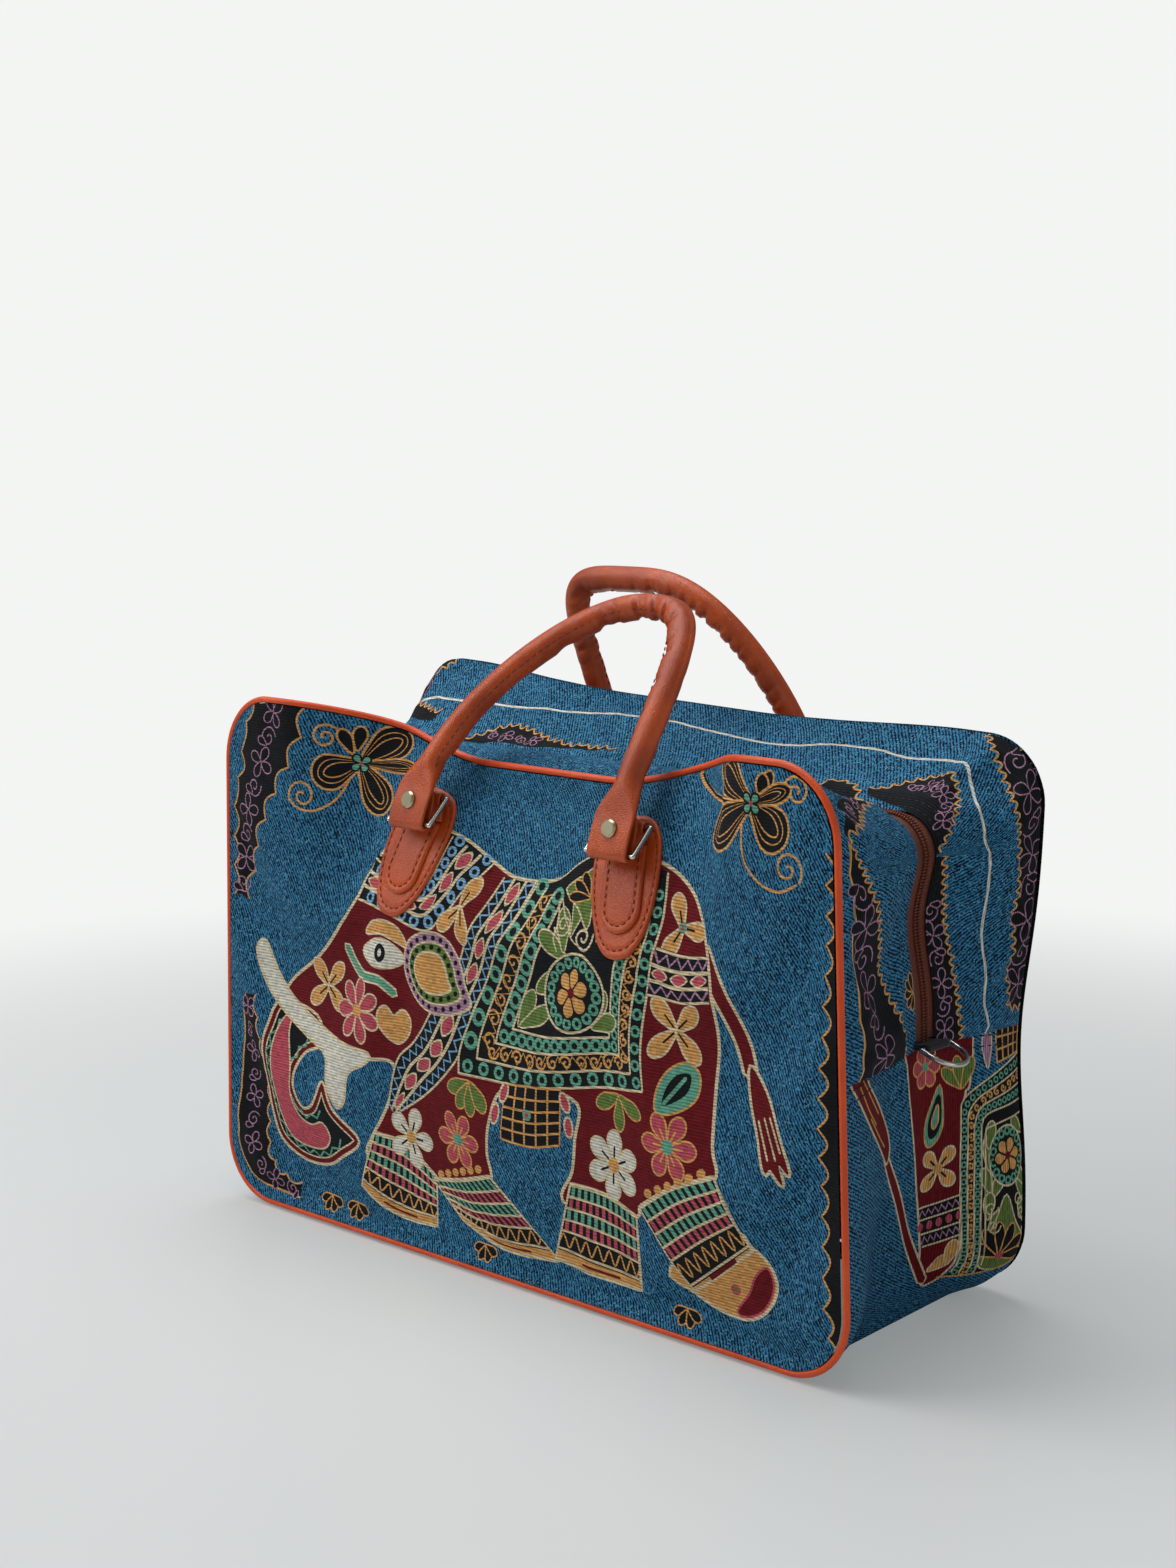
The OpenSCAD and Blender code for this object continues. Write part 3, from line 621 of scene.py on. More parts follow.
    def banded(self, band: Ribbon, stops: Sequence[tuple[float, float, Trim]]) -> None:
        """Draws the ornamented stripes of a band.

        Args:
            band: Where it lies.
            stops: For each stripe, its two edges across the band and its ornament.
        """
        self.fill(band.field(0, 1), INK)
        run = length(band.path(0.5))
        for w0, w1, kind in stops:
            mid = (w0 + w1) / 2
            middle, wide = band.path(mid), float(np.linalg.norm(band.at(0.5, w1) - band.at(0.5, w0)))
            if kind is Trim.DIAMONDS:
                n = max(2, int(run / (wide * 1.7)))
                for k in range(n):
                    t0, t1 = (k + 0.05) / n, (k + 0.95) / n
                    tm = (t0 + t1) / 2
                    for grow, dye in ((0.0, CREAM), (0.1, ROSE)):
                        reach = (w1 - w0) * (0.5 - grow) * 0.9
                        tips = ((t0 + grow / n, 0), (tm, -reach), (t1 - grow / n, 0), (tm, reach))
                        self.blob([band.at(t, mid + d) for t, d in tips], dye, None, 1.0, 3)
            elif kind in (Trim.SKY_TEETH, Trim.LILAC_TEETH):
                dye = SKY if kind is Trim.SKY_TEETH else LILAC
                self.zigzag(middle, wide * 0.62, max(3, int(run / 7)), dye, 1.5)
            elif kind in (Trim.MINT_RINGS, Trim.SKY_RINGS):
                dye = MINT if kind is Trim.MINT_RINGS else SKY
                for c in along(middle, max(3, int(run / (wide * 0.98))) + 1)[:-1]:
                    self.ring(c, wide * 0.42, dye, INK)
            elif kind is Trim.SCROLL:
                n = max(3, int(run / (wide * 0.95)))
                p = along(middle, n + 1)
                for k in range(n):
                    c = (p[k] + p[k + 1]) / 2
                    self.curl(c, wide * 0.44, 1.2 if k % 2 else -1.2, 90 * k, GOLD, 1.2)
                self.zigzag(middle, wide * 0.7, n, GOLD, 0.9)
            elif kind in (Trim.MINT_BARS, Trim.ROSE_BARS):
                n = max(4, int(run / 4.6))
                for k in range(n):
                    self.fill(band.field(w0 + 0.012, w1 - 0.012, (k + 0.16) / n, (k + 0.84) / n)[::10],
                              MINT if kind is Trim.MINT_BARS else ROSE)
            elif kind is Trim.SQUIGGLE:
                self.squiggle(middle, wide * 0.66, max(4, int(run / 7)), GOLD, 1.1)
        for w in sorted({e for s in stops for e in s[:2]}):
            self.stroke(band.path(w), CREAM, 1.3, 1)

    def head_dress(self) -> None:
        """Draws the cap over the head, the neck bands and the ear drop."""
        cap = Ribbon("-20.7,220 -38,198 -51,183 -57,178 -66,178.5 -82,182 -98,185 -116,188",
                     "-57,232 -61,215 -64,206 -69,203 -76,203.5 -86,206 -98,209 -108,213", 60)
        self.fill(np.vstack([spline("-20.7,220 -47,231 -72,233 -96,222 -110,204"),
                             spline([(-110, 204), (-116, 188)]),
                             spline("-98,185 -66,178.5 -57,178 -38,198")]), INK)
        self.banded(cap, [(0.02, 0.3, Trim.SKY_RINGS), (0.32, 0.6, Trim.DIAMONDS), (0.62, 0.9, Trim.SKY_RINGS)])
        for turn in (120, 165, 210):
            self.petal((-74, 214), 15, 7, turn, GOLD, CREAM, 0.9)
        neck = Ribbon("-11.5,214 -18,199 -25,184 -33,167.5 -43,151 -52,136 -69,116 -82,104 -89,76",
                      "13.5,214 7,197 -2,178 -11.5,158 -21,140 -28,116 -45,98 -62,85 -79,75", 60)
        self.banded(neck, [(0.03, 0.32, Trim.SKY_TEETH), (0.34, 0.68, Trim.DIAMONDS), (0.7, 0.97, Trim.SKY_TEETH)])
        drop = pts("-24,144 -36,138 -52,137 -66,143 -74,156 -70,170 -58,177 -44,176 -34,166 -29,154")
        centre = np.array([-54.0, 157.0])
        for share, dye in ((1.06, CREAM), (1.0, LILAC), (0.8, CREAM), (0.75, OLIVE), (0.56, CREAM), (0.5, GOLD)):
            loop = spline(centre + (drop - centre) * share, True, 4)
            self.fill(loop, dye)
            if dye in (LILAC, OLIVE):
                for c in along(np.vstack([loop, loop[:1]]), 25 if share == 1 else 19)[:-1]:
                    self.oval(centre + (c - centre) * (0.89 if share == 1 else 0.87), 1.5, 1.5, INK, 0, 6)

    def saddle(self) -> None:
        """Draws the saddle cloth with its nested borders, medallion, leaves and tassel net."""
        sides = ("14,214 7,198 -2,180 -12,160 -22,140 -29,120 -29,107",
                 "-29,107 10,107.5 48,112 80,117 106,121",
                 "106,121 104,142 106,172 110,205 107,229",
                 "107,229 84,236 60,234 44,229 30,217.5 14,214")
        inner = ("38,208 32,190 24,172 16,154 9,137", "9,137 32,137 56,140 79,143",
                 "79,143 82,166 86,190 84,208", "84,208 68,213 52,214 38,208")
        self.fill(np.vstack([spline(s)[:-1] for s in sides]), INK)
        for a, b in list(zip(sides, inner))[:3]:
            self.banded(Ribbon(a, b), [(0.02, 0.34, Trim.MINT_RINGS), (0.34, 0.68, Trim.SCROLL),
                                       (0.68, 0.99, Trim.MINT_RINGS)])
        for root, size, turn in (((13, 139), 22, 62), ((14, 139), 26, 28), ((50, 176), 30, 215), ((50, 177), 26, 150),
                                 ((46, 182), 22, 105), ((50, 190), 24, 80), ((66, 147), 22, 58), ((68, 146), 18, 22),
                                 ((70, 190), 22, 70)):
            self.petal(root, size, 8.5, turn, OLIVE, CREAM, 0.9)
        self.blob("40,213 50,221 58,226 60,210 61,195 52,204", OLIVE, CREAM, 1.0)
        for turn in (120, 150, 182):
            self.petal((58, 210), 15, 5, turn, INK, GOLD, 0.8)
        for path in ("38,208 44,196 52,188 62,184", "36,206 38,196 37,188 40,182"):
            self.stroke(path, CREAM, 1.0)
        self.curl((42, 195), 6, 1.5, 200, CREAM, 1.0)
        self.curl((60, 190), 7, -1.5, 20, CREAM)
        centre = (54, 162)
        for r, dye in ((23.5, CREAM), (22, INK)):
            self.oval(centre, r, r * 0.86, dye, 18, 36)
        for k in range(16):
            a = 2 * math.pi * k / 16
            x, y = 18 * math.cos(a), 15.4 * math.sin(a)
            self.ring((centre[0] + 0.95 * x - 0.31 * y, centre[1] + 0.31 * x + 0.95 * y), 3.2, MINT, INK, 0.45)
        self.flower(centre, 12.5, 6, GOLD, INK, MAROON, 80)
        net = Ribbon("6,107 25,109 46,111", "4,79 24,78 44,82")
        self.fill(grown(net.field(0, 1), 1.2), GOLD)
        self.fill(net.field(0, 1), INK)
        for k in range(1, 5):
            self.stroke(net.at(np.full(6, k / 5), np.linspace(0, 1, 6)), GOLD, 1.2, 1)
            self.stroke(net.path(k / 5), GOLD, 1.2, 1)
        self.ring((23, 94.5), 3, MINT, ROSE)
        for c, turn in (((-1, 91), 80), ((5, 103), 70), ((49, 105), 110), ((51, 92), 95)):
            self.oval(c, 6.2, 3.4, CREAM, turn)
            self.oval(c, 4.8, 2.2, ROSE, turn)

    def foot(self, band: Ribbon, sole: float = 0.86) -> None:
        """Draws the banded end of one leg, from its ankle to its sole."""
        self.fill(grown(band.field(0, 1), 1.8), CREAM)
        rows = np.linspace(0, 0.62, 5)
        bars = zip(rows, rows[1:], (Trim.MINT_BARS, Trim.ROSE_BARS) * 2)
        self.banded(band, [*bars, (0.62, sole, Trim.SQUIGGLE)])
        self.fill(band.field(sole + 0.03, 1.0), GOLD)
        self.fill(band.field(sole + 0.08, 0.97, 0.3, 0.75), MAROON)

    def feet(self) -> None:
        """Draws the four banded feet."""
        self.foot(Ribbon("-99,60 -76,56 -53,43", "-112,27 -86,16 -54,15.5"))
        self.foot(Ribbon("-54,41 -33,46 -8,54", "-32,24 -2,15 38,17.5"))
        self.foot(Ribbon("51,61 75,60 97,55", "37,19 66,16.5 97,17"))
        toe = "120,34 133,24 150,18.5 166,18.5 178,25 184,37 180,48 171,56 161,62"
        self.blob(toe, GOLD, CREAM, 1.8)
        self.blob("160,20 168,20 177,26 182,37 179,46 172,40 168,31", MAROON, ROSE, 1.2)
        self.ring((159, 31), 3, ROSE, OLIVE)
        self.foot(Ribbon("101,61 124,76 150,87", "133,25 152,40 171,55"), 0.94)

    def tusk_and_trunk(self) -> None:
        """Draws the curled trunk and the tusk over it."""
        outer = pts("-180,122 -188,107 -193,92 -194,74 -191,53 -184,39 -169,32 -154,31 -139,34.5 -127,42 -112.5,53 "
                    "-127,63 -134,69 -141,82 -146,72 -150,66 -158,63.5 -164.5,70 -167,80 -164,90 -157,98 -145,104 "
                    "-150,118")
        self.blob(outer, MAROON, CREAM, 1.8)
        loop = spline(outer, True, 4)
        self.fill(grown(loop, -2.8), CREAM)
        self.fill(grown(loop, -3.8), INK)
        self.zigzag(spline("-176,114 -184,104 -189,88 -189,70 -186,54 -180,44 -168,38 -152,37 -138,41 -126,50"),
                    3.4, 13, MINT, 1.4)
        self.zigzag(spline("-152,107 -163,97 -170,86 -170,72 -163,62 -152,60 -142,64"), 3.0, 8, MINT, 1.4)
        self.blob("-171,117 -173,106 -169.5,86 -169,68 -162,57.5 -151,55 -142,58 -136.5,51 -142,43.5 -157,40.5 "
                  "-173,42 -182,52.5 -186.5,72 -184.5,93 -179,110", ROSE, CREAM, 1.1)
        self.blob("-202,150 -199,154 -195,151 -186,138.5 -172,125.5 -150,114.5 -126,107 -103,104.5 -107,99 -117,94 "
                  "-121,88 -123,76 -127,71 -131,73.5 -137,84 -140,98.5 -156,106 -175,116.5 -189,128 "
                  "-198.5,141", CHALK, CREAM, 1.8)

    def blossoms(self) -> None:
        """Draws the eye, the face's ornaments and the flowers on the body and legs."""
        self.blob("-110,161 -102,167 -90,169 -78,164 -76,159 -86,155 -99,155", CHALK, CREAM, 1.2)
        self.oval((-93, 162), 4.6, 5.2, INK, -20)
        self.oval((-93, 162), 1.7, 2.4, CHALK, -20, 8)
        self.blob("-108,171 -103,177 -90,179 -78,176 -72,168 -78,169 -90,172.5 -100,172", GOLD, CREAM, 1.2)
        for dye, width in ((CREAM, 6), (MINT, 3.6)):
            self.stroke("-125,161 -119,154 -108,148 -94,147 -83,141", dye, width)
        self.trio((-141, 137), 18, 8, (48, 132, 218, 322))
        self.flower((-112, 128), 18, 7, ROSE, CREAM, GOLD, 80, 0.44)
        self.blob("-94,123 -94,130 -89,133 -83.5,128 -77,132 -71,128 -72,120 -79,114 -87,116",
                  GOLD, CREAM, 1.2)
        self.trio((-35, 194), 19, 8, (62, 222, 292))
        self.trio((123, 204), 17, 7.5, (118, 0, 240))
        self.ring((123, 204), 2.6, MINT, ROSE)
        band = Ribbon("110,193 126,192 144,194", "105,168 126,168 148,172")
        self.banded(band, [(0.04, 0.34, Trim.LILAC_TEETH), (0.36, 0.66, Trim.DIAMONDS), (0.68, 0.97, Trim.LILAC_TEETH)])
        self.trio((124, 154), 20, 8.5, (42, 138, 222, 318))
        self.blob("115,113 115,124 121,134 131,139 139,135 138,124 128,116", MINT, GOLD, 1.2)
        self.blob("118,117 120,126 126,133 134,134 133,126 126,120", INK, None)
        self.stroke([(119, 118), (131, 132)], MINT, 2.0, 1)
        self.flower((122, 97), 17, 6, ROSE, GOLD, MINT, 0, 0.5, GOLD)
        self.flower((82, 78), 18, 6, CHALK, CREAM, GOLD, 85, 0.54, INK)
        self.flower((-31, 70), 15.5, 6, ROSE, GOLD, MINT, 0, 0.5, GOLD)
        self.flower((-71, 62), 17, 5, CHALK, CREAM, GOLD, 70, 0.52, INK)
        for root, turns in (((-20, 104), (200, 238, 272, 310)), ((87, 115), (205, 270, 335))):
            for turn in turns:
                self.petal(root, 18, 7.5, turn, OLIVE, GOLD, 0.9)
        for a, b in (((-48, 46), (-16, 57)), ((107, 70), (143, 88))):
            for k in range(6):
                f = k / 5
                self.oval((a[0] + (b[0] - a[0]) * f, a[1] + (b[1] - a[1]) * f), 2.9, 2.4, GOLD, 30, 8)

    def trio(self, centre: Pair, size: float, width: float, turns: Sequence[float]) -> None:
        """Draws a spray of gold leaves from one point."""
        for turn in turns:
            self.petal(centre, size, width, turn, GOLD, CREAM, 1.2)
            self.stroke([np.asarray(centre) + ray(turn) * size * f for f in (0.1, 0.5)], INK, 1.1, 1)


# Woven sheets


@dataclass
class WovenSheet:
    """One piece of woven cloth: a flat outline cut along the fields of its drawing, then laid on its surface."""

    name: str
    outline: Flat
    drawing: Drawing
    surface: Surface
    flip: bool = False
    pitch: Pair = (4.0, 4.0)

    def mesh(self) -> Object:
        """Cuts the sheet and lays it.

        Returns:
            The sheet, with its yarn colours as an attribute and its flat places as a UV map.
        """
        loops = [(self.outline, self.drawing.ground), *self.drawing.shapes]
        places, faces = [], []
        low, high = self.outline.min(0), self.outline.max(0)
        for loop, _ in loops:
            keep = np.linalg.norm(loop - np.roll(loop, 1, 0), axis=1) > 0.02
            loop = loop[keep]
            first = len(places)
            places.extend(map(tuple, loop))
            faces.append(list(range(first, first + len(loop))))
        nx, ny = (int((high[k] - low[k]) / self.pitch[k]) for k in (0, 1))
        gx, gy = np.meshgrid(np.linspace(low[0], high[0], nx + 2)[1:-1], np.linspace(low[1], high[1], ny + 2)[1:-1])
        places.extend(map(tuple, np.stack([gx.ravel(), gy.ravel()], axis=1)))
        verts, _, tris, _, _, origin = geometry.delaunay_2d_cdt([Vector(p) for p in places], [], faces, 0, 1e-4, True)
        flat = np.array([v[:] for v in verts])
        inside = [(t, max(o)) for t, o in zip(tris, origin) if 0 in o]
        used = np.unique([i for t, _ in inside for i in t])
        index = np.full(len(flat), -1)
        index[used] = np.arange(len(used))
        flat = flat[used]
        cells = [tuple(index[list(t)])[::-1 if self.flip else 1] for t, _ in inside]
        made = bpy.data.meshes.new(self.name)
        made.from_pydata((self.surface(flat) * MM).tolist(), [], [tuple(int(i) for i in c) for c in cells])
        dye = made.attributes.new("dye", "FLOAT_COLOR", "CORNER")
        uv = made.uv_layers.new(name="weave")
        corners = np.zeros(len(made.loops), dtype=np.int32)
        made.loops.foreach_get("vertex_index", corners)
        uv.data.foreach_set("uv", (flat[corners] * UV_PER_MM).astype(np.float32).ravel())
        tints = np.array([loops[top][1].linear() for _, top in inside], dtype=np.float32)
        dye.data.foreach_set("color", np.repeat(tints, 3, axis=0).ravel())
        made.shade_smooth()
        made.update()
        log.info("%s: %d faces from %d fields", self.name, len(cells), len(loops))
        return linked(self.name, made)


@dataclass(frozen=True)
class Slack:
    """Spare cloth that a simulation lets settle into folds, kept as offsets on a coarse grid."""

    spare: float = 0.015
    frames: int = 36
    bending: float = 4.0
    limit: float = 6.0

    def settle(self, name: str, surface: Surface, places: tuple[Array, Array],
               held: Callable[[Flat], Array]) -> Surface:
        """Simulates one cloth and keeps how far it moved.

        Args:
            name: Name of the cloth.
            surface: The surface it is sewn to.
            places: The grid's flat places across and along.
            held: Which flat places are sewn down.

        Returns:
            Offsets in millimetres, by flat place.
        """
        q = np.stack(np.meshgrid(*places), axis=-1)
        rest = surface(q)
        mesh = shaped(name, loft(rest, False))
        obj = linked(name, mesh)
        scene = bpy.context.scene
        group = obj.vertex_groups.new(name="held")
        group.add([int(k) for k in np.flatnonzero(held(q).ravel())], 1.0, "REPLACE")
        cloth = obj.modifiers.new("cloth", "CLOTH")
        settings = cloth.settings
        settings.quality, settings.mass, settings.air_damping = 6, 0.25, 4.0
        settings.tension_stiffness = settings.compression_stiffness = 20.0
        settings.shear_stiffness, settings.bending_stiffness = 8.0, self.bending
        settings.vertex_group_mass, settings.shrink_min = "held", -self.spare
        cloth.collision_settings.use_collision = cloth.collision_settings.use_self_collision = False
        cloth.point_cache.frame_start, cloth.point_cache.frame_end = 1, self.frames
        for k in range(1, self.frames + 1):
            scene.frame_set(k)
        shape = obj.evaluated_get(bpy.context.evaluated_depsgraph_get()).data
        moved = np.zeros(len(shape.vertices) * 3, dtype=np.float32)
        shape.vertices.foreach_get("co", moved)
        offset = moved.reshape(rest.shape) / MM - rest
        size = np.linalg.norm(offset, axis=-1, keepdims=True)
        offset *= self.limit * np.tanh(size / self.limit) / np.maximum(size, 1e-6)
        scene.frame_set(1)
        bpy.data.objects.remove(obj)
        bpy.data.meshes.remove(mesh)
        log.info("%s settled by up to %.1f mm, %.1f on average", name, float(size.max()), float(size.mean()))
        return lambda p: self.between(places, offset, p)

    def between(self, places: tuple[Array, Array], offset: Space, p: Flat) -> Space:
        """Offsets at flat places, from the four nearest of the grid."""
        index, share = [], []
        for k in (0, 1):
            f = np.clip((p[..., k] - places[k][0]) / (places[k][1] - places[k][0]), 0, len(places[k]) - 1.001)
            index.append(f.astype(int))
            share.append((f - f.astype(int))[..., None])
        (i, j), (a, b) = index, share
        low = offset[j, i] * (1 - a) + offset[j, i + 1] * a
        high = offset[j + 1, i] * (1 - a) + offset[j + 1, i + 1] * a
        return low * (1 - b) + high * b


# Shader arithmetic


class Value:
    """A shader socket that takes part in Python arithmetic."""

    def __init__(self, shader: "Shader", socket: bpy.types.NodeSocket) -> None:
        """Wraps one output socket."""
        self.shader, self.socket = shader, socket

    def maths(self, operation: str, *terms: "Value | float") -> "Value":
        """Result of one Math node."""
        return self.shader.node("Math", {"operation": operation}, dict(enumerate(terms)))

    def __add__(self, other: "Value | float") -> "Value":
        """Sum."""
        return self.maths("ADD", self, other)

    def __rsub__(self, other: float) -> "Value":
        """Difference from a number."""
        return self.maths("SUBTRACT", other, self)

    def __mul__(self, other: "Value | float") -> "Value":
        """Product."""
        return self.maths("MULTIPLY", self, other)

    __radd__ = __add__
    __rmul__ = __mul__

    def ramp(self, low: float, high: float) -> "Value":
        """Smooth rise from 0 at low to 1 at high."""
        return self.shader.node("MapRange", {"interpolation_type": "SMOOTHSTEP"},
                                {"Value": self, "From Min": low, "From Max": high})


class Shader:
    """A material or world under construction."""

    def __init__(self, name: str, world: bool = False) -> None:
        """Starts an empty node tree."""
        self.owner = (bpy.data.worlds if world else bpy.data.materials).new(name)
        self.owner.use_nodes = True
        self.tree = self.owner.node_tree
        self.tree.nodes.clear()
        self.out = self.tree.nodes.new("ShaderNodeOutput" + ("World" if world else "Material"))

    def node(self, kind: str, settings: dict | None = None, inputs: dict | None = None, output: int | str = 0) -> Value:
        """Adds one node.

        Args:
            kind: Node type, without the ShaderNode that every one starts with.
            settings: Properties, set before the sockets.
            inputs: Values or links by socket name or number.
            output: Name or number of the output socket that is wanted.

        Returns:
            The wanted output.
        """
        node = self.tree.nodes.new("ShaderNode" + kind)
        for key, value in (settings or {}).items():
            setattr(node, key, value)
        for key, value in (inputs or {}).items():
            if isinstance(value, Value):
                self.tree.links.new(value.socket, node.inputs[key])
            else:
                node.inputs[key].default_value = value
        return Value(self, node.outputs[output])

    def mix(self, factor: Value | float, a: Value | tuple, b: Value | tuple, blend: str = "MIX") -> Value:
        """Mixed colour."""
        return self.node("Mix", {"data_type": "RGBA", "blend_type": blend}, {0: factor, 6: a, 7: b}, 2)

    def place(self) -> Value:
        """Object coordinates in metres."""
        return self.node("TexCoord", output="Object")

    def flat(self, name: str) -> Value:
        """The piece's own UV map."""
        return self.node("UVMap", {"uv_map": name})

    def stretched(self, vector: Value, scale: Triple, turn: float = 0.0) -> Value:
        """Coordinates scaled, then turned about Z."""
        return self.node("Mapping", None, {"Vector": vector, "Scale": scale, "Rotation": (0, 0, turn)})

    def noise(self, vector: Value, scale: float, detail: float = 2.0, rough: float = 0.5, warp: float = 0.0) -> Value:
        """Soft noise from 0 to 1."""
        return self.node("TexNoise", None, {"Vector": vector, "Scale": scale, "Detail": detail,
                                                      "Roughness": rough, "Distortion": warp})

    def wave(self, vector: Value, across: str, scale: float, warp: float, **more: float) -> Value:
        """Even bands from 0 to 1, with more sockets named with _ for a space."""
        sockets = {"Vector": vector, "Scale": scale, "Distortion": warp}
        sockets |= {k.replace("_", " "): v for k, v in more.items()}
        return self.node("TexWave", {"bands_direction": across}, sockets, 1)

    def cells(self, vector: Value, size: Triple) -> Value:
        """An even random value for every cell of a grid."""
        corner = self.node("VectorMath", {"operation": "SNAP"}, {0: vector, 1: size})
        return self.node("TexWhiteNoise", {"noise_dimensions": "2D"}, {"Vector": corner}, "Value")

    def bump(self, height: Value, strength: float, distance: float) -> Value:
        """Bumped normal."""
        return self.node("Bump", None, {"Height": height, "Strength": strength, "Distance": distance})

    def finish(self, **sockets: Value | float | tuple) -> Material:
        """Closes the material with a Principled shader whose sockets are named with _ for a space."""
        self.shows(self.node("BsdfPrincipled", None, {k.replace("_", " "): v for k, v in sockets.items()}))
        return self.owner

    def shows(self, surface: Value) -> None:
        """Links what the tree shows."""
        self.tree.links.new(surface.socket, self.out.inputs["Surface"])


# Finishes


@dataclass(frozen=True)
class WovenCloth:
    """Yarn-dyed cloth: a stippled denim twill, with the figure's yarns floating over it in rows."""

    name: str = "woven_cloth"
    row: float = 1.6
    twill: float = 1.95

    def material(self) -> Material:
        """Builds the material."""
        s = Shader(self.name)
        uv = s.flat("weave")
        dye = s.node("Attribute", {"attribute_name": "dye"}, None, "Color")
        figure = s.node("Attribute", {"attribute_name": "dye"}, None, "Alpha")
        rows = s.wave(uv, "Y", 31.4 / self.row, 0.4, Detail=1.0, Detail_Scale=6.0)
        rib = s.wave(s.stretched(uv, (1.0, 0.55, 1.0)), "DIAGONAL", 62.8 / self.twill, 1.2,
                     Detail=1.0, Detail_Scale=2.0)
        stipple, floats = s.cells(uv, (0.0062, 0.0086, 1.0)), s.cells(uv, (0.024, 0.0110, 1.0))
        patchy = s.noise(uv, 1.6, 3.0)
        slub = s.cells(uv, (0.0125, 0.0172, 1.0))
        tone = stipple * 0.44 + rib * 0.4 + slub * 0.16
        ground = s.mix(tone.ramp(0.34, 0.66), colour("010C22"), colour("3780AA"))
        ground = s.mix(stipple.ramp(0.88, 0.98) * 0.5, ground, colour("7CB4C6"))
        yarns = s.mix(1.0, dye, 0.42 + rows * 0.5 + floats * 0.36, "MULTIPLY")
        woven = s.mix(1.0, s.mix(figure, ground, yarns), 0.86 + patchy * 0.28, "MULTIPLY")
        relief = (rows + floats * 0.5) * figure * 0.8 + tone * (1 - figure)
        return s.finish(Base_Color=woven, Roughness=0.86 - stipple * 0.1,
                        Normal=s.bump(relief + figure * 0.7, 0.5, 0.0006), Sheen_Weight=0.02, Specular_IOR_Level=0.12)


@dataclass(frozen=True)
class Leather:
    """Dyed cowhide with a fine grain and pores; where it is creased, painted shade darkens the creases."""

    name: str
    tint: str
    dark: str
    creased: bool = False
    rough: float = 0.46

    def material(self) -> Material:
        """Builds the material."""
        s = Shader(self.name)
        at = s.place()
        cloud = s.noise(at, 26, 4.0, 0.6)
        grain = s.node("TexVoronoi", {"feature": "DISTANCE_TO_EDGE"}, {"Vector": at, "Scale": 780.0})
        pores = s.noise(at, 1500, 2.0)
        height = grain.ramp(0.0, 0.25) * 0.5 + pores * 0.5
        # Random mottling of the colour; in the creased kind it also takes the painted crease shade below
        mottle_and_crease_shade = cloud.ramp(0.3, 0.72)
        if self.creased:
            run = s.flat("run")
            at_run = s.node("SeparateXYZ", None, {0: run}, 1)
            bent = at_run.ramp(0.9, 1.5) * (1 - at_run.ramp(2.9, 3.5))
            folds = s.noise(s.stretched(run, (1.6, 13, 1)), 1.0, 2.0, 0.5, 0.35)
            # Painted shade: this mask darkens the colour by up to 0.4 in the creases of the bent stretch, where shade
            # would fall
            painted_crease_shade = (1 - folds.ramp(0.34, 0.46)) * bent
            height = height + folds * bent * 3.0
            mottle_and_crease_shade = mottle_and_crease_shade * (1 - painted_crease_shade * 0.4)
        base = s.mix(mottle_and_crease_shade, colour(self.dark), colour(self.tint))
        return s.finish(Base_Color=base, Roughness=self.rough - 0.06 + (1 - mottle_and_crease_shade) * 0.12,
                        Normal=s.bump(height, 0.32, 0.0007), Specular_IOR_Level=0.45)


@dataclass(frozen=True)
class Ribbed:
    """Narrow woven tape or webbing with ribs across it."""

    name: str
    tint: str
    dark: str
    ribs: float
    rough: float = 0.75

    def material(self) -> Material:
        """Builds the material."""
        s = Shader(self.name)
        uv = s.flat("run")
        rib, ends = s.wave(uv, "Y", self.ribs, 0.6, Detail=1.0), s.wave(uv, "X", 3.4, 0.3)
        fuzz = s.noise(s.place(), 900, 2.0)
        tone = rib * 0.5 + ends * 0.25 + fuzz * 0.25
        return s.finish(Base_Color=s.mix(tone, colour(self.dark), colour(self.tint)), Roughness=self.rough - fuzz * 0.1,
                        Normal=s.bump(rib * 0.7 + ends * 0.3, 0.5, 0.0004), Sheen_Weight=0.15, Specular_IOR_Level=0.3)


@dataclass(frozen=True)
class Plated:
    """Plated or enamelled metal with faint hand marks."""

    name: str
    tint: str
    metallic: float = 1.0
    rough: float = 0.2

    def material(self) -> Material:
        """Builds the material."""
        s = Shader(self.name)
        at = s.place()
        marks = s.noise(at, 160, 4.0, 0.6)
        fine = s.noise(s.stretched(at, (900, 900, 120)), 1.0, 1.0)
        base = s.mix(marks * 0.35, colour(self.tint), (0.30, 0.28, 0.25, 1.0))
        return s.finish(Base_Color=base, Metallic=self.metallic, Roughness=self.rough + marks * 0.14,
                        Normal=s.bump(fine, 0.06, 0.0003))


@dataclass(frozen=True)
class Moulded:
    """Nylon coil or sewing thread: a soft sheen over a twisted fibre."""

    name: str
    tint: str
    dark: str
    rough: float = 0.4

    def material(self) -> Material:
        """Builds the material."""
        s = Shader(self.name)
        fibre = s.noise(s.place(), 1300, 2.0)
        return s.finish(Base_Color=s.mix(fibre, colour(self.dark), colour(self.tint)),
                        Roughness=self.rough + fibre * 0.15, Normal=s.bump(fibre, 0.3, 0.0002), Specular_IOR_Level=0.4)


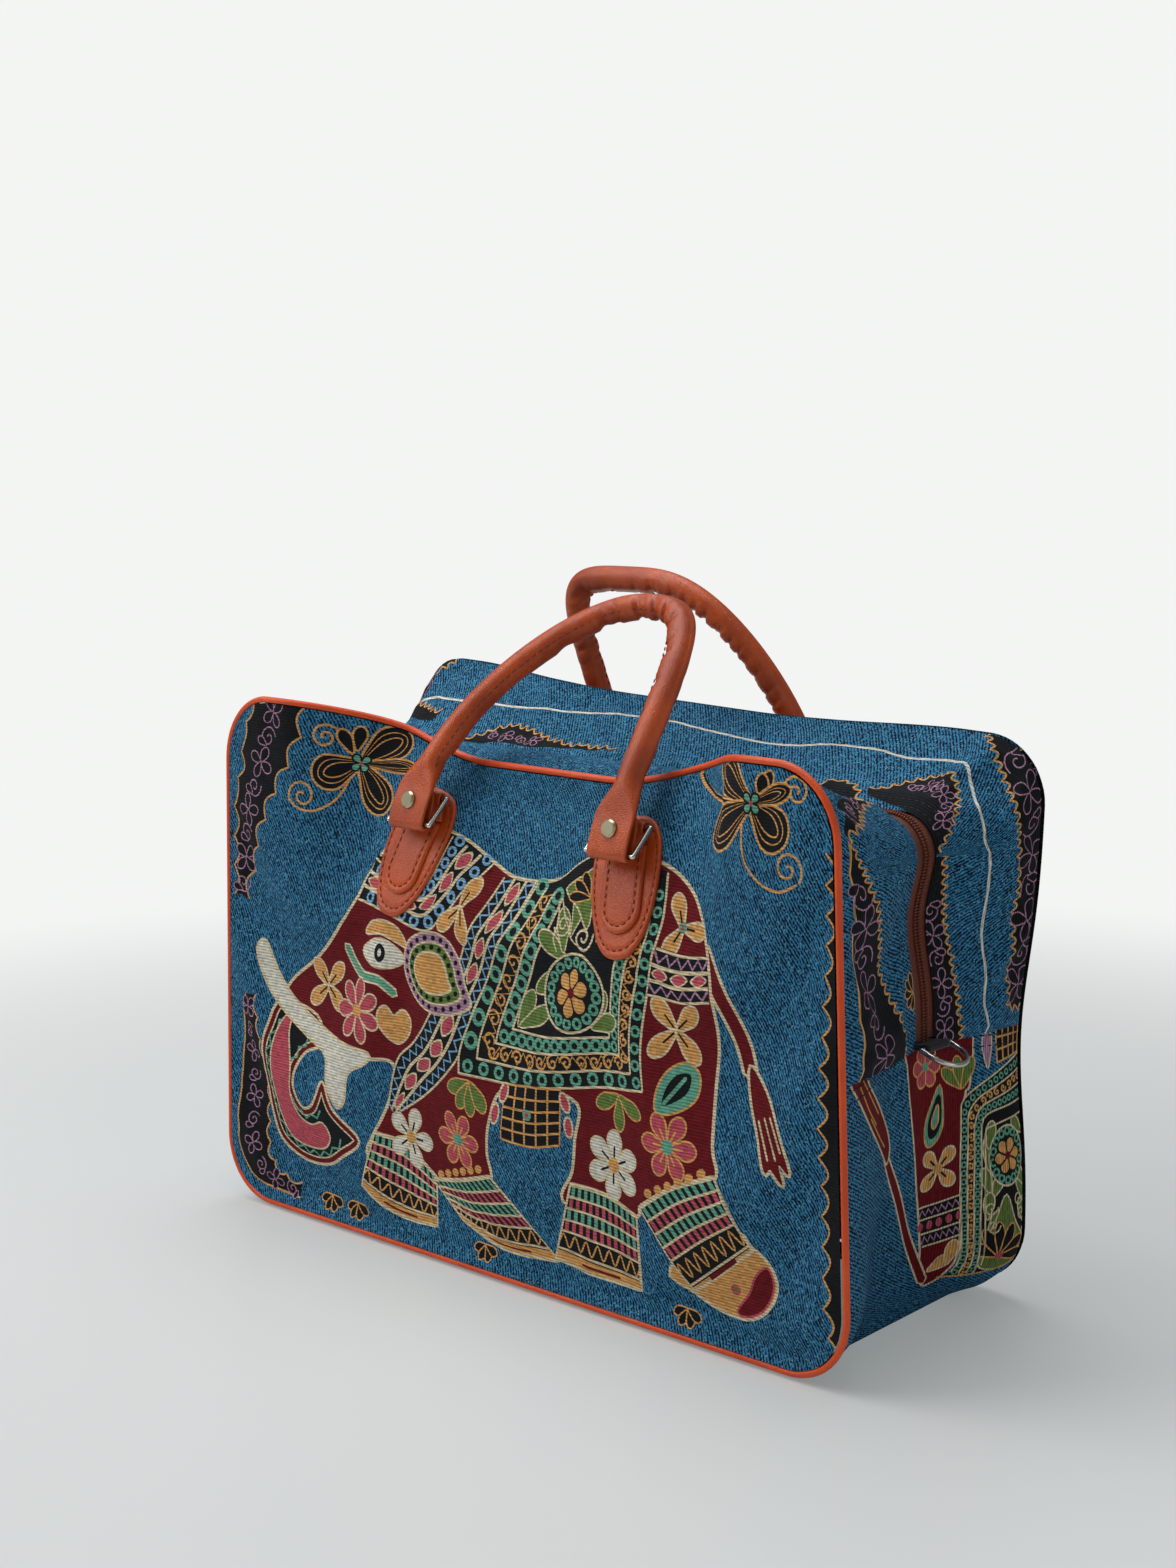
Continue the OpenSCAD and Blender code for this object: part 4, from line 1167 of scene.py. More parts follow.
class Finishes:
    """Every material of the bag, made once."""

    def __init__(self) -> None:
        """Builds the materials."""
        self.cloth = WovenCloth().material()
        self.leather = Leather("rust_leather", "CA531C", "AE4212", False, 0.32).material()
        self.rolled = Leather("rolled_rust_leather", "CE571E", "A43E12", True, 0.3).material()
        self.piping = Leather("orange_piping", "EE5818", "DA480C", False, 0.36).material()
        self.tape = Ribbed("brown_zip_tape", "7E3A1E", "4E2010", 60).material()
        self.webbing = Ribbed("black_webbing", "2A2A2E", "0C0C0E", 22).material()
        self.steel = Plated("bright_steel", "D2CEC4", 1.0, 0.16).material()
        self.cap = Plated("rivet_cap", "B9B08F", 1.0, 0.26).material()
        self.enamel = Plated("brown_enamel", "6A3420", 0.55, 0.3).material()
        self.coil = Moulded("brown_nylon", "8A4022", "5A2814").material()
        self.thread = Moulded("rust_thread", "8A3A20", "5E2412", 0.6).material()
        self.dark_thread = Moulded("navy_thread", "1E2C40", "10161F", 0.6).material()


# Mesh helpers


def shaped(name: str, bm: Mesh) -> bpy.types.Mesh:
    """New mesh of a bmesh, which is freed."""
    mesh = bpy.data.meshes.new(name)
    bm.to_mesh(mesh)
    bm.free()
    return mesh


def linked(name: str, data: bpy.types.ID) -> Object:
    """New object in the scene."""
    obj = bpy.data.objects.new(name, data)
    bpy.context.scene.collection.objects.link(obj)
    return obj


def piece(name: str, bm: Mesh, material: Material, body: str, node: str = "") -> Object:
    """Makes an object of a bmesh.

    Args:
        name: Piece name.
        bm: The shape, in metres; it is freed.
        material: Its finish.
        body: The body it moves with.
        node: The CAD node that it replaces, if any.

    Returns:
        The linked object.
    """
    mesh = shaped(name, bm)
    mesh.shade_smooth()
    return dressed(linked(name, mesh), material, body, node)


def dressed(obj: Object, material: Material, body: str, node: str = "") -> Object:
    """Gives an object its finish, body and slot, and the node that it replaces."""
    obj.data.materials.clear()
    obj.data.materials.append(material)
    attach(obj, body)
    if node:
        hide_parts(node)
    log.info("%s on %s, %d faces", obj.name, body, len(obj.data.polygons))
    return obj


def loft(rings: Space, closed: bool, caps: bool = False, looped: bool = False) -> Mesh:
    """Skin through rows of points.

    Args:
        rings: Points in millimetres, one row after another.
        closed: Whether each row closes on itself.
        caps: Whether the first and last row are filled.
        looped: Whether the last row joins the first.

    Returns:
        A bmesh in metres, with the UV map "run": share across, and length along in tenths of a metre.
    """
    if closed:
        rings = np.concatenate([rings, rings[:, :1]], axis=1)
    if looped:
        rings = np.concatenate([rings, rings[:1]], axis=0)
    rows, columns = rings.shape[:2]
    run = run_of(rings.mean(1)) * UV_PER_MM
    bm = bmesh.new()
    bmesh.ops.create_grid(bm, x_segments=columns - 1, y_segments=rows - 1, size=1.0)
    uv = bm.loops.layers.uv.new("run")
    place = {}
    for v in bm.verts:
        i, j = round((v.co.y + 1) / 2 * (rows - 1)), round((v.co.x + 1) / 2 * (columns - 1))
        place[v.index] = (i, j)
        v.co = Vector(rings[i, j]) * MM
    for f in bm.faces:
        for corner in f.loops:
            i, j = place[corner.vert.index]
            corner[uv].uv = (j / (columns - 1), run[i])
    if closed or looped:
        bmesh.ops.remove_doubles(bm, verts=bm.verts[:], dist=1e-6)
    if caps:
        bmesh.ops.holes_fill(bm, edges=[e for e in bm.edges if e.is_boundary], sides=0)
    bmesh.ops.recalc_face_normals(bm, faces=bm.faces[:])
    return bm


def thicken(bm: Mesh, thickness: float) -> Mesh:
    """Gives an open skin a wall, in millimetres."""
    bmesh.ops.solidify(bm, geom=bm.faces[:], thickness=thickness * MM)
    bmesh.ops.recalc_face_normals(bm, faces=bm.faces[:])
    return bm


def stitches(rows: Sequence[Space], lift: Sequence[Space], stitch: Triple) -> Mesh:
    """Rows of thread stitches.

    Args:
        rows: Paths in millimetres.
        lift: For each path, the outward directions at its points.
        stitch: Pitch, length and thickness of one stitch.

    Returns:
        A bmesh in metres.
    """
    bm = bmesh.new()
    pitch, long, wide = stitch
    for path, out in zip(rows, lift):
        count = max(2, int(length(path) / pitch) + 1)
        both = along(np.hstack([path, out]), count)
        place, up = both[:, :3], unit(both[:, 3:])
        run = unit(np.gradient(place, axis=0))
        for p, u, d in zip(place, up, run):
            side = np.cross(u, d)
            turn = Matrix((Vector(d), Vector(side), Vector(np.cross(d, side)))).transposed().to_4x4()
            size = Matrix.Diagonal((long / 2 * MM, wide / 2 * MM, wide / 2 * MM, 1))
            bmesh.ops.create_icosphere(bm, subdivisions=1, radius=1.0,
                                       matrix=Matrix.Translation(Vector(p) * MM) @ turn @ size)
    return bm


# Sub-assemblies


@dataclass
class Shell:
    """The sewn bag: two panels, two zip strips and the base gusset."""

    finish: Finishes
    pitch: float = 4.0
    strip_w: Pair = (70.0, 72.0)
    gusset_w: float = 176.0
    rim_held: float = 5.0
    # Place along X, half width and half height of what is sewn down under a tab
    tab_held: Triple = (79, 31, 49)

    def rim_outline(self) -> Flat:
        """Flat outline of a panel."""
        return FORM.rim(np.linspace(0, sum(FORM.rim_spans), 361)[:-1])[0]

    def cut(self, surface: Surface, ends: Pair, wide: float) -> tuple[Pair, float]:
        """Size of a cut strip of cloth, measured on the surface it is sewn to.

        Args:
            surface: The sewn surface.
            ends: Where it starts and ends along the rim.
            wide: Its nominal width.

        Returns:
            Length and width in metres, and the area in square metres.
        """
        p = surface(np.stack(np.meshgrid(np.linspace(*ends, 241), np.linspace(0, wide, 25)), axis=-1)) * MM
        d, c = np.diff(p, axis=1), np.diff(p, axis=0)
        area = np.linalg.norm(np.cross((d[:-1] + d[1:]) / 2, (c[:, :-1] + c[:, 1:]) / 2), axis=-1).sum()
        run, span = (float(np.linalg.norm(step, axis=-1).sum(k).max()) for step, k in ((d, 1), (c, 0)))
        return (run, span), float(area)

    def strip_outline(self, start: float, end: float, wide: float, count: int) -> Flat:
        """Flat outline of a strip of cloth."""
        return np.array([[s, 0] for s in np.linspace(start, end, count)]
                        + [[s, wide] for s in np.linspace(end, start, count)])

    def panel_slack(self, side: Side) -> Surface:
        """Folds of a panel, sewn down along its rim and under its tabs."""
        def held(q: Flat) -> Array:
            """Which flat places are sewn down."""
            x, v = np.abs(q[..., 0]), np.abs(q[..., 1] - FORM.panel_h / 2)
            r = FORM.corner_r
            corner = np.hypot(np.maximum(x - FORM.panel_w / 2 + r, 0), np.maximum(v - FORM.panel_h / 2 + r, 0))
            inset = np.maximum(np.maximum(x - FORM.panel_w / 2, v - FORM.panel_h / 2), corner - r)
            at, half_w, half_h = self.tab_held
            tab = ((x - at) / half_w) ** 2 + ((q[..., 1] - FORM.tab_v) / half_h) ** 2
            return (inset > -self.rim_held) | (tab < 1)
        grid = (np.linspace(-FORM.panel_w / 2, FORM.panel_w / 2, 61), np.linspace(0, FORM.panel_h, 39))
        return Slack().settle(f"{side.word}_slack", lambda q: FORM.panel(side, q), grid, held)

    def strip_slack(self, side: Side, wide: float) -> Surface:
        """Folds of a zip strip, sewn down along its edges."""
        start, end = FORM.above
        grid = (np.linspace(start, end, 121), np.linspace(0, wide - 7, 14))
        return Slack(0.03, 36, 2.0).settle(
            f"{side.word}_strip_slack", lambda q: FORM.strip(side, q * [1, 1 / wide]), grid,
            lambda q: (q[..., 0] < start + 2) | (q[..., 0] > end - 2) | (q[..., 1] < 3) | (q[..., 1] > wide - 14))

    def panels(self) -> None:
        """Builds the front and back panels."""
        for side, drawing in ((Side.FRONT, ElephantCloth().draw()), (Side.BACK, BackCloth().draw())):
            name = f"{side.word}_panel"
            slack = self.panel_slack(side)
            sheet = WovenSheet(f"{name}_cloth", self.rim_outline(), drawing, lambda p: FORM.panel(side, p) + slack(p),
                               side is Side.BACK, (self.pitch, self.pitch)).mesh()
            dressed(sheet, self.finish.cloth, "bag", name)
            abs(turning(self.rim_outline())) * 1e-6

    def strips(self) -> None:
        """Builds the two zip strips."""
        start, end = FORM.above
        for side in Side:
            name = f"{side.word}_zip_strip"
            wide = FORM.of(self.strip_w, side)
            slack = self.strip_slack(side, wide)
            sewn: Surface = lambda q: FORM.strip(side, q * [1, 1 / wide])
            sheet = WovenSheet(f"{name}_cloth", self.strip_outline(start, end, wide, 150), StripCloth(side=side).draw(),
                               lambda q: sewn(q) + slack(q), side is Side.BACK, (5, 4)).mesh()
            dressed(sheet, self.finish.cloth, "bag", name)
            flat, area = self.cut(sewn, (start, end), wide)

    def base(self) -> None:
        """Builds the base gusset."""
        start, end = FORM.below
        ends, wide = (start + FORM.gap, end - FORM.gap), self.gusset_w
        sewn: Surface = lambda q: FORM.gusset(q * [1, 1 / wide])
        sheet = WovenSheet("base_gusset_cloth", self.strip_outline(*ends, wide, 190),
                           GussetCloth(start=start, end=end).draw(), sewn, False, (6, 4)).mesh()
        dressed(sheet, self.finish.cloth, "bag", "base_gusset")
        flat, area = self.cut(sewn, ends, wide)

    def seam_stitches(self) -> None:
        """Builds the double rows of stitches below the seams where the gusset meets the strips."""
        start, end = FORM.below
        rows, lift = [], []
        for seam, down in ((end, -1), (start, 1)):
            for inset in (3.0, 8.5):
                for low, high in ((0.02, 0.42), (0.6, 0.98)):
                    q = np.stack([np.full(60, seam + down * inset), np.linspace(low, high, 60)], axis=1)
                    p = FORM.gusset(q)
                    n = unit(np.cross(FORM.gusset(q + [0.5, 0]) - p, np.gradient(p, axis=0)))
                    n *= np.sign(n[:, :1] * p[:, :1])
                    rows.append(p + n * 0.25)
                    lift.append(n)
        piece("base_gusset_stitches", stitches(rows, lift, CLOTH_STITCH), self.finish.dark_thread, "bag")

    def build(self) -> None:
        """Builds every cloth piece."""
        self.panels()
        self.strips()
        self.base()
        self.seam_stitches()


class BackCloth(Drawing):
    """Back panel's weave: plain ground with scalloped borders and flower sprays."""

    def draw(self) -> "BackCloth":
        """Draws the fields."""
        for end in (-1, 1):
            edge = spline(pts("214,292 206,250 208,190 205,130 208,70 200,-2") * [end, 1])
            far = np.array([[end * 230.0, 292], [end * 230.0, -2]])
            self.scallops(edge if end > 0 else edge[::-1], 20, -5, far if end > 0 else far[::-1], INK, GOLD)
            self.sprigs(along(edge, 30) + [end * 9, 0], 22, 12, LILAC)
        return self


@dataclass
class StripCloth(Drawing):
    """A zip strip's weave: dark toothed bands on its ends, and a pale line along the back one."""

    side: Side = Side.FRONT

    def over(self, points: Points, mirror: bool, steps: int = 6) -> Flat:
        """Curve in places along the rim and across the strip, or its mirror on the left half."""
        total = sum(FORM.above)
        p = np.array([(total - s, w) if mirror else (s, w) for s, w in pts(points)])
        return spline(p[::-1] if mirror else p, False, steps)

    def band(self, mirror: bool, teeth: Points, far: Points, count: int, inward: bool) -> None:
        """Draws a dark band whose teeth point to the zip, or inward to the rim.

        Args:
            mirror: Whether it lies on the left half.
            teeth: The toothed edge, from right to left.
            far: The other edge, from right to left.
            count: Number of teeth.
            inward: Whether the teeth point to the rim.
        """
        a, b = self.over(teeth, mirror), self.over(far, mirror)
        self.scallops(a[::-1] if inward else a, count, 3.6, b[::-1] if inward else b, INK, GOLD)

    def draw(self) -> "StripCloth":
        """Draws the fields."""
        if self.side is Side.FRONT:
            self.front()
        else:
            self.back()
        return self

    def front(self) -> None:
        """Draws the tapering bands of the front strip."""
        for mirror in (False, True):
            far = "106,13 123,14 133,13.5 145,12.5 190,9.5 225,8"
            self.band(mirror, "106,58 123,51 138,46 158,38 183,27 208,16 225,8", far, 24, False)
            self.stroke(self.over(far, mirror), GOLD, 1.2, 1)
            self.sprigs(self.over("108,33 130,30 158,24 186,17 205,13", mirror), 6, 18, LILAC)
            edge = "229,8 236,18 244,30 256,40 268,54 281,60 291,72"
            self.band(mirror, edge, "229,6 240,11 252,19 260,31 272,46 290,56 306,72", 16, False)
            self.sprigs(self.over("236,14 248,27 262,41 284,58", mirror), 5, 9, LILAC)
            root = self.over([(138, 68), (139, 69)], mirror)[0]
            for k in range(5):
                self.petal(root, 9, 4, 190 + 40 * k, INK, GOLD, 0.8)

    def back(self) -> None:
        """Draws the pale line and the bands beside the rim and the zip of the back strip."""
        line = pts("104,32.5 113,33 145,35.5 183,38 215,42 240,42 256,35 268,27 284,24 308,26 345,21 395,28 466,20 "
                   "500,19.5 550,25 616,29 658,30 690,36 720,41 780,37 830,33")
        self.stroke(line, CHALK, 1.7, 5)
        for mirror in (False, True):
            rim = "119,-3 120,9 126,14 158,14.5 183,15.5 208,17.5 230,20 248,16 262,9 274,-3"
            self.band(mirror, rim, "119,-4 190,-4 274,-4", 30, False)
            self.sprigs(self.over("122,6 160,7 208,8.5 235,9 258,4", mirror), 8, 18, LILAC)
            self.band(mirror, "104,54 113,55 133,58 158,61 183,64.5 206,70", "104,76 150,76 206,76", 20, True)
            self.sprigs(self.over("108,64 150,67 180,70", mirror), 6, 12, LILAC)
        self.band(False, "226,72 245,56 258,45 270,38 280,39 293,46 309,60",
                  "226,76 250,74 285,70 309,64", 17, True)
        self.sprigs(self.over("240,66 256,55 272,47 292,54", False), 6, 11, LILAC)
        self.band(False, "312,70 322,58 334,56 346,70", "312,76 330,76 346,76", 6, True)
        self.band(False, "490,53 529,54 550,49 572,44 588,48 600,62",
                  "490,54 529,59 550,61 575,60 600,66", 17, True)
        self.sprigs(self.over([(545, 55), (590, 53)], False), 4, 9, LILAC)
        self.band(False, "645,41 660,40 680,32 700,14 712,4", "645,47 664,48 690,41 708,24 722,6", 13, True)


@dataclass
class GussetCloth(Drawing):
    """The base gusset's weave: plain ground, with parts of a second figure on its ends."""

    start: float = 0.0
    end: float = 0.0
    right: bool = True

    def draw(self) -> "GussetCloth":
        """Draws the fields on both ends."""
        for right in (True, False):
            self.right = right
            self.rump()
            self.saddle()
        return self

    def at(self, points: Points) -> list[Pair]:
        """Flat places of points measured down from the seam and back from the front edge."""
        return [(self.end - a, b) if self.right else (self.start + a, b) for a, b in pts(points)]

    def one(self, a: float, b: float) -> Pair:
        """Flat place of a single point."""
        return self.at([(a, b)])[0]

    def leaf(self, root: Pair, size: Pair, turn: float, dye: Dye, edge: Dye) -> None:
        """Draws a leaf whose turn is measured from straight up towards the back."""
        self.petal(self.one(*root), *size, turn if self.right else 180 - turn, dye, edge, 0.9)

    def rump(self) -> None:
        """Draws the tail with its brush, the rump and its ornaments."""
        tail = self.at("52,63 65,74 78,84 93,94 108,103 122,111 133,117")
        self.blob(self.at("-2,86 12,88 42,92 70,101 94,109 113,113 126,114 136,118 135,123 129,129 115,134 70,131 "
                          "34,132 26,136 -2,134"), MAROON, CREAM, 1.4)
        self.stroke(tail, CREAM, 7)
        self.stroke(tail, MAROON, 4.6)
        self.blob(self.at("-2,8 8,15 18,24 30,36 42,50 50,59 56,66 50,68 42,65 33,59 24,51 16,42 8,32 "
                          "-2,22"), MAROON, CREAM, 1.5)
        for path in ("4,18 18,30 30,44", "2,22 14,35 26,49", "24,34 38,50 46,60"):
            self.stroke(self.at(path), GOLD, 1.1, 3)
        band = Ribbon(self.at("90,108 88,120 85,132"), self.at("113,114 111,124 108,134"))
        self.fill(band.field(0, 1), INK)
        for w in (0.03, 0.33, 0.67, 0.97):
            self.stroke(band.path(w), CREAM, 1.0, 1)
        for w in (0.18, 0.82):
            self.zigzag(band.path(w), 3.4, 6, LILAC, 1.3)
        for c in along(band.path(0.5), 5):
            self.oval(c, 2.6, 1.9, ROSE, 0, 10)
        self.flower(self.one(70, 117), 13.5, 4, GOLD, CREAM, GOLD, 40, 0.5, INK)
        for root, size, dye in (((26, 116), (32, 13), MINT), ((31, 115), (22, 8), INK), ((36, 114), (12, 4), MINT)):
            self.leaf(root, size, 194, dye, GOLD if dye is MINT else INK)
        self.flower(self.one(15, 105), 11, 6, ROSE, GOLD, MINT)
        for turn in (-50, -12, 26):
            self.leaf((29, 131), (17, 6), turn, OLIVE, GOLD)
        for root, turn in (((127, 119), 55), ((124, 129), 12)):
            self.leaf(root, (14, 6), turn, GOLD, CREAM)
        self.leaf((20, 149), (20, 6), -4, LILAC, CREAM)

    def saddle(self) -> None:
        """Draws the corner of the saddle cloth with its borders, medallion and leaves."""
        outer = pts("132,126 129,133 120,136 96,134 70,131 44,130 36,131 31,138 25,151 19,165 13,181")
        inner = "131,147 124,147 116,146 96,145 70,144 53,143.5 46,145 43,151 41,163 38,181"
        foot = "124,181 129,162 132,145 132,126"
        self.fill(np.vstack([spline(self.at(outer)), self.at(foot)]), INK)
        leaves = (((74, 149), 18, -6), ((62, 148), 14, 12), ((86, 150), 14, -20), ((88, 152), 12, 24),
                  ((92, 176), 16, -20), ((84, 178), 14, -40), ((100, 149), 14, 4), ((108, 150), 14, 30),
                  ((104, 178), 14, -25), ((56, 176), 12, -50))
        for root, size, turn in leaves:
            self.leaf(root, (size, 6), turn, OLIVE, CREAM)
        self.blob(self.at("88,161 100,155 114,149 126,148 129,160 123,180 112,176 102,168"),
                  OLIVE, CREAM, 1.0)
        for turn in (-70, -38, -8, 24, 58, 88):
            self.leaf((121, 159), (19, 6), turn, INK, GOLD)
        self.oval(self.one(121, 159), 2.4, 2.4, ROSE, 0, 10)
        for a, b in ((94, 151), (104, 153), (90, 171), (98, 174), (108, 178)):
            self.curl(self.one(a, b), 4.4, 1.3, 90, CREAM, 0.9)
        centre = self.one(67, 162)
        for r, dye in ((16.5, CREAM), (15.4, INK)):
            self.oval(centre, r, r * 0.84, dye, 0, 26)
        for k in range(14):
            a = math.tau * k / 14
            self.ring((centre[0] + 13 * math.cos(a), centre[1] + 10.8 * math.sin(a)), 2.5, MINT, INK)
        self.flower(centre, 9.5, 6, GOLD, INK, MAROON, 80)
        band = Ribbon(self.at(outer[1:]), self.at(inner), 50)
        run = length(band.path(0.5))
        for w in (0.17, 0.83):
            for c in along(band.path(w), int(run / 4.2)):
                self.ring(c, 1.9, MINT, INK)
        for k, c in enumerate(along(band.path(0.5), int(run / 5))):
            self.curl(c, 2.3, 1.1 if k % 2 else -1.1, 90 * k, GOLD, 1.1)
        for w in (0.0, 0.34, 0.66, 1.0):
            self.stroke(band.path(w), CREAM, 1.0, 1)
        self.stroke(self.at("126,149.5 96,147.5 70,146.5 54,146 50,153 45,181"), CREAM, 0.9)
        self.stroke(self.at(foot), GOLD, 1.3)
        net = Ribbon(self.at("-2,154 8,155 18,156"), self.at("-2,180 6,180 13,180"))
        self.fill(net.field(0, 1), INK)
        for k in range(6):
            self.stroke(net.path(k / 5), GOLD, 1.1, 1)
        for k in range(4):
            self.stroke(net.at(np.full(5, k / 3), np.linspace(0, 1, 5)), GOLD, 1.1, 1)


@dataclass
class Piping:
    """Leather-covered cord round each panel."""

    finish: Finishes
    radius: float = 1.8
    sides: int = 14
    steps: int = 420

    def build(self) -> None:
        """Builds both cords."""
        r = self.radius
        s = np.linspace(0, sum(FORM.rim_spans), self.steps, endpoint=False)
        p, out = FORM.rim(s)
        normal = upright(out)
        a = np.linspace(0, math.tau, self.sides, endpoint=False)
        for side in Side:
            # The back seam rolls over, so its cord lies just inside the rim on the back face
            sunk, reach = (-0.6, -r - 3.0) if side is Side.BACK else (FORM.panel_t / 2, r + 0.15)
            centre = FORM.panel(side, p, sunk) + normal * reach
            depth = np.array([0, side.value, 0.0])
            turn = np.cos(a)[None, :, None] * normal[:, None] + np.sin(a)[None, :, None] * depth
            rings = centre[:, None] + r * turn
            name = f"{side.word}_piping"
            piece(f"{name}_cord", loft(rings, True, looped=True), self.finish.piping, "bag", name)


@dataclass
class Tabs:
    """Stitched leather tabs that hold the handle rings."""

    finish: Finishes
    patch_l: float = 80
    patch_w: float = 46
    splay: float = 10
    tongue_w: float = 26
    tongue_t: float = 1.5
    tab_gap: float = 1.3
    tab_x: float = 77.29
    back_x: float = 79.33
    panel_x: float = 80.0
    bore_r: float = 1.6
    eye_drop: float = 13
    patch_t: float = 1.8

    @property
    def eye(self) -> Pair:
        """Height of a tongue's eye above the tab's middle, and its distance from the cloth."""
        return self.patch_l / 2 - self.eye_drop, self.tab_gap + self.patch_t + self.bore_r + self.tongue_t

    def frame(self, side: Side, hand: Hand) -> tuple[Space, Space, Space]:
        """Foot, up direction and outward direction of a tab."""
        rows = FORM.panel(side, np.array([[self.panel_x, FORM.tab_v + rise] for rise in (0, 8, -8)]))
        up = unit((rows[1] - rows[2]) * [0, 1, 1])
        out = np.array([0, side.value * up[2], -side.value * up[1]])
        return np.array([hand.value * self.tab_x, rows[0][1], rows[0][2]]), up, out

    def on_cloth(self, side: Side, hand: Hand, q: Flat, height: Array | float) -> Space:
        """Points over the panel at a tab, from splayed tab places and heights above the cloth."""
        angle = math.radians(self.splay) * hand.value
        a = q[..., 0] * math.cos(angle) - q[..., 1] * math.sin(angle)
        b = q[..., 0] * math.sin(angle) + q[..., 1] * math.cos(angle)
        scale = self.panel_x / (self.tab_x if side is Side.FRONT else self.back_x)
        places = np.stack([(hand.value * self.tab_x + a) * scale, FORM.tab_v + b], axis=-1)
        out = self.frame(side, hand)[2]
        base = FORM.panel(side, places)
        level = [FORM.of(FORM.tilt, side) * (0.5 - x / FORM.panel_w) * np.maximum(0, v - FORM.seam_v) / FORM.zip_drop
                 for x, v in ((self.panel_x, FORM.tab_v), (places[..., 0], places[..., 1]))]
        base[..., 2] += level[0] - level[1]
        return base + out * np.asarray(height)[..., None]

    def outline(self, angle: Array) -> Flat:
        """Outline of a patch."""
        c, s = np.cos(angle), np.sin(angle)
        return np.stack([self.patch_w / 2 * np.sign(c) * np.abs(c) ** 0.8 * (0.94 + 0.12 * s),
                         self.patch_l / 2 * np.sign(s) * np.abs(s) ** 0.9], axis=-1)

    def patch(self, side: Side, hand: Hand, name: str) -> None:
        """Builds one patch and its row of stitches."""
        a = np.linspace(0, math.tau, 96, endpoint=False)
        loop = self.outline(a)
        profile = pts("1,0 1,0.9 0.992,1.45 0.975,1.8 0.95,1.95 0.925,1.9 0.905,1.62 0.885,1.62 0.865,1.92 "
                      "0.82,2.02 0.7,2.05 0.5,2.05 0.3,2.05 0.12,2.05 0.02,2.05")
        rings = np.array([self.on_cloth(side, hand, loop * share, np.full(96, h)) for share, h in profile])
        piece(f"{name}_patch_leather", loft(rings, True, caps=True), self.finish.leather, "bag",
              f"{name}_patch")
        row = self.on_cloth(side, hand, np.vstack([loop, loop[:1]]) * 0.895, np.full(97, 1.8))
        out = np.tile(self.frame(side, hand)[2], (97, 1))
        piece(f"{name}_patch_stitches", stitches([row], [out], TAB_STITCH), self.finish.thread, "bag")

    def stadium(self, inset: float) -> Flat:
        """Outline of a tongue's flat part, drawn in by a distance: a round foot and straight sides."""
        half, low, top = self.tongue_w / 2, 12 - self.patch_l / 2, self.patch_l / 2 - 22
        arc = np.linspace(math.pi, math.tau, 33)
        foot = np.stack([(half - inset) * np.cos(arc), low + half + (half - inset) * np.sin(arc)], axis=1)
        right = np.stack([np.full(16, half - inset), np.linspace(low + half, top - inset, 17)[1:]], axis=1)
        return np.vstack([foot, right, (right * [-1, 1])[::-1]])

    def tongue(self, side: Side, hand: Hand, name: str) -> None:
        """Builds one tongue: a flat stitched end, and the loop that holds the ring."""
        foot, up, out = self.frame(side, hand)
        profile = pts("0,1.9 0,2.9 0.25,3.4 0.8,3.75 1.8,3.9 2.8,3.82 3.3,3.6 3.9,3.6 4.4,3.84 5.5,3.95 8,4 11,4 "
                      "12.6,4")
        rings = np.array([self.on_cloth(side, hand, self.stadium(d), np.full(65, h)) for d, h in profile])
        piece(f"{name}_tongue_leather", loft(rings, True, caps=True), self.finish.leather, "bag",
              f"{name}_tongue")
        eye_up, eye_out = self.eye
        r = self.bore_r + self.tongue_t / 2
        rise = [(3.2 + (eye_out + r - 3.2) * float(smooth(f)), eye_up - 12 + 12 * f) for f in np.linspace(0, 1, 10)]
        turn = [(eye_out + r * math.cos(t), eye_up + r * math.sin(t)) for t in np.linspace(0, math.pi, 15)[1:]]
        path = np.array(rise + turn + [(eye_out - r, eye_up - 4), (eye_out - r - 0.1, eye_up - 10)])
        run = unit(np.gradient(path, axis=0))
        shift = -hand.value * math.sin(math.radians(self.splay)) * (eye_up - 5)
        half, thick = self.tongue_w / 2, 0.68
        corner = [(-half, -thick * 0.6), (-half + 0.5, -thick), (half - 0.5, -thick), (half, -thick * 0.6),
                  (half, thick * 0.6), (half - 0.5, thick), (-half + 0.5, thick), (-half, thick * 0.6)]
        rows = []
        for (o, h), (do, dh) in zip(path, run):
            lean = 1 - float(smooth((h - (eye_up - 12)) / 10))
            middle = foot + (shift - hand.value * lean * 0.9) * np.array([1, 0, 0]) + o * out + h * up
            rows.append([middle + a * np.array([1, 0, 0]) + b * (dh * out - do * up) for a, b in corner])
        piece(f"{name}_tongue_eye", loft(np.array(rows), True, caps=True), self.finish.leather, "bag",
              f"{name}_tongue")
        loop = self.stadium(3.6)
        u = along(np.vstack([loop[49:], loop[:49]]), 90)
        row = self.on_cloth(side, hand, u, np.full(90, 3.78))
        piece(f"{name}_tongue_stitches", stitches([row], [np.tile(out, (90, 1))], TAB_STITCH), self.finish.thread,
              "bag")

    def build(self) -> None:
        """Builds the four tabs."""
        for side in Side:
            for hand in Hand:
                name = f"{side.word}_{hand.word}"
                self.patch(side, hand, name)
                self.tongue(side, hand, name)
                dress_node(f"{name}_ring", self.finish.steel)


def dress_node(node: str, material: Material) -> None:
    """Gives a carried-over CAD node its finish."""
    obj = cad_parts[node]
    obj.data.materials.clear()
    obj.data.materials.append(material)
    log.info("%s keeps its solid", node)


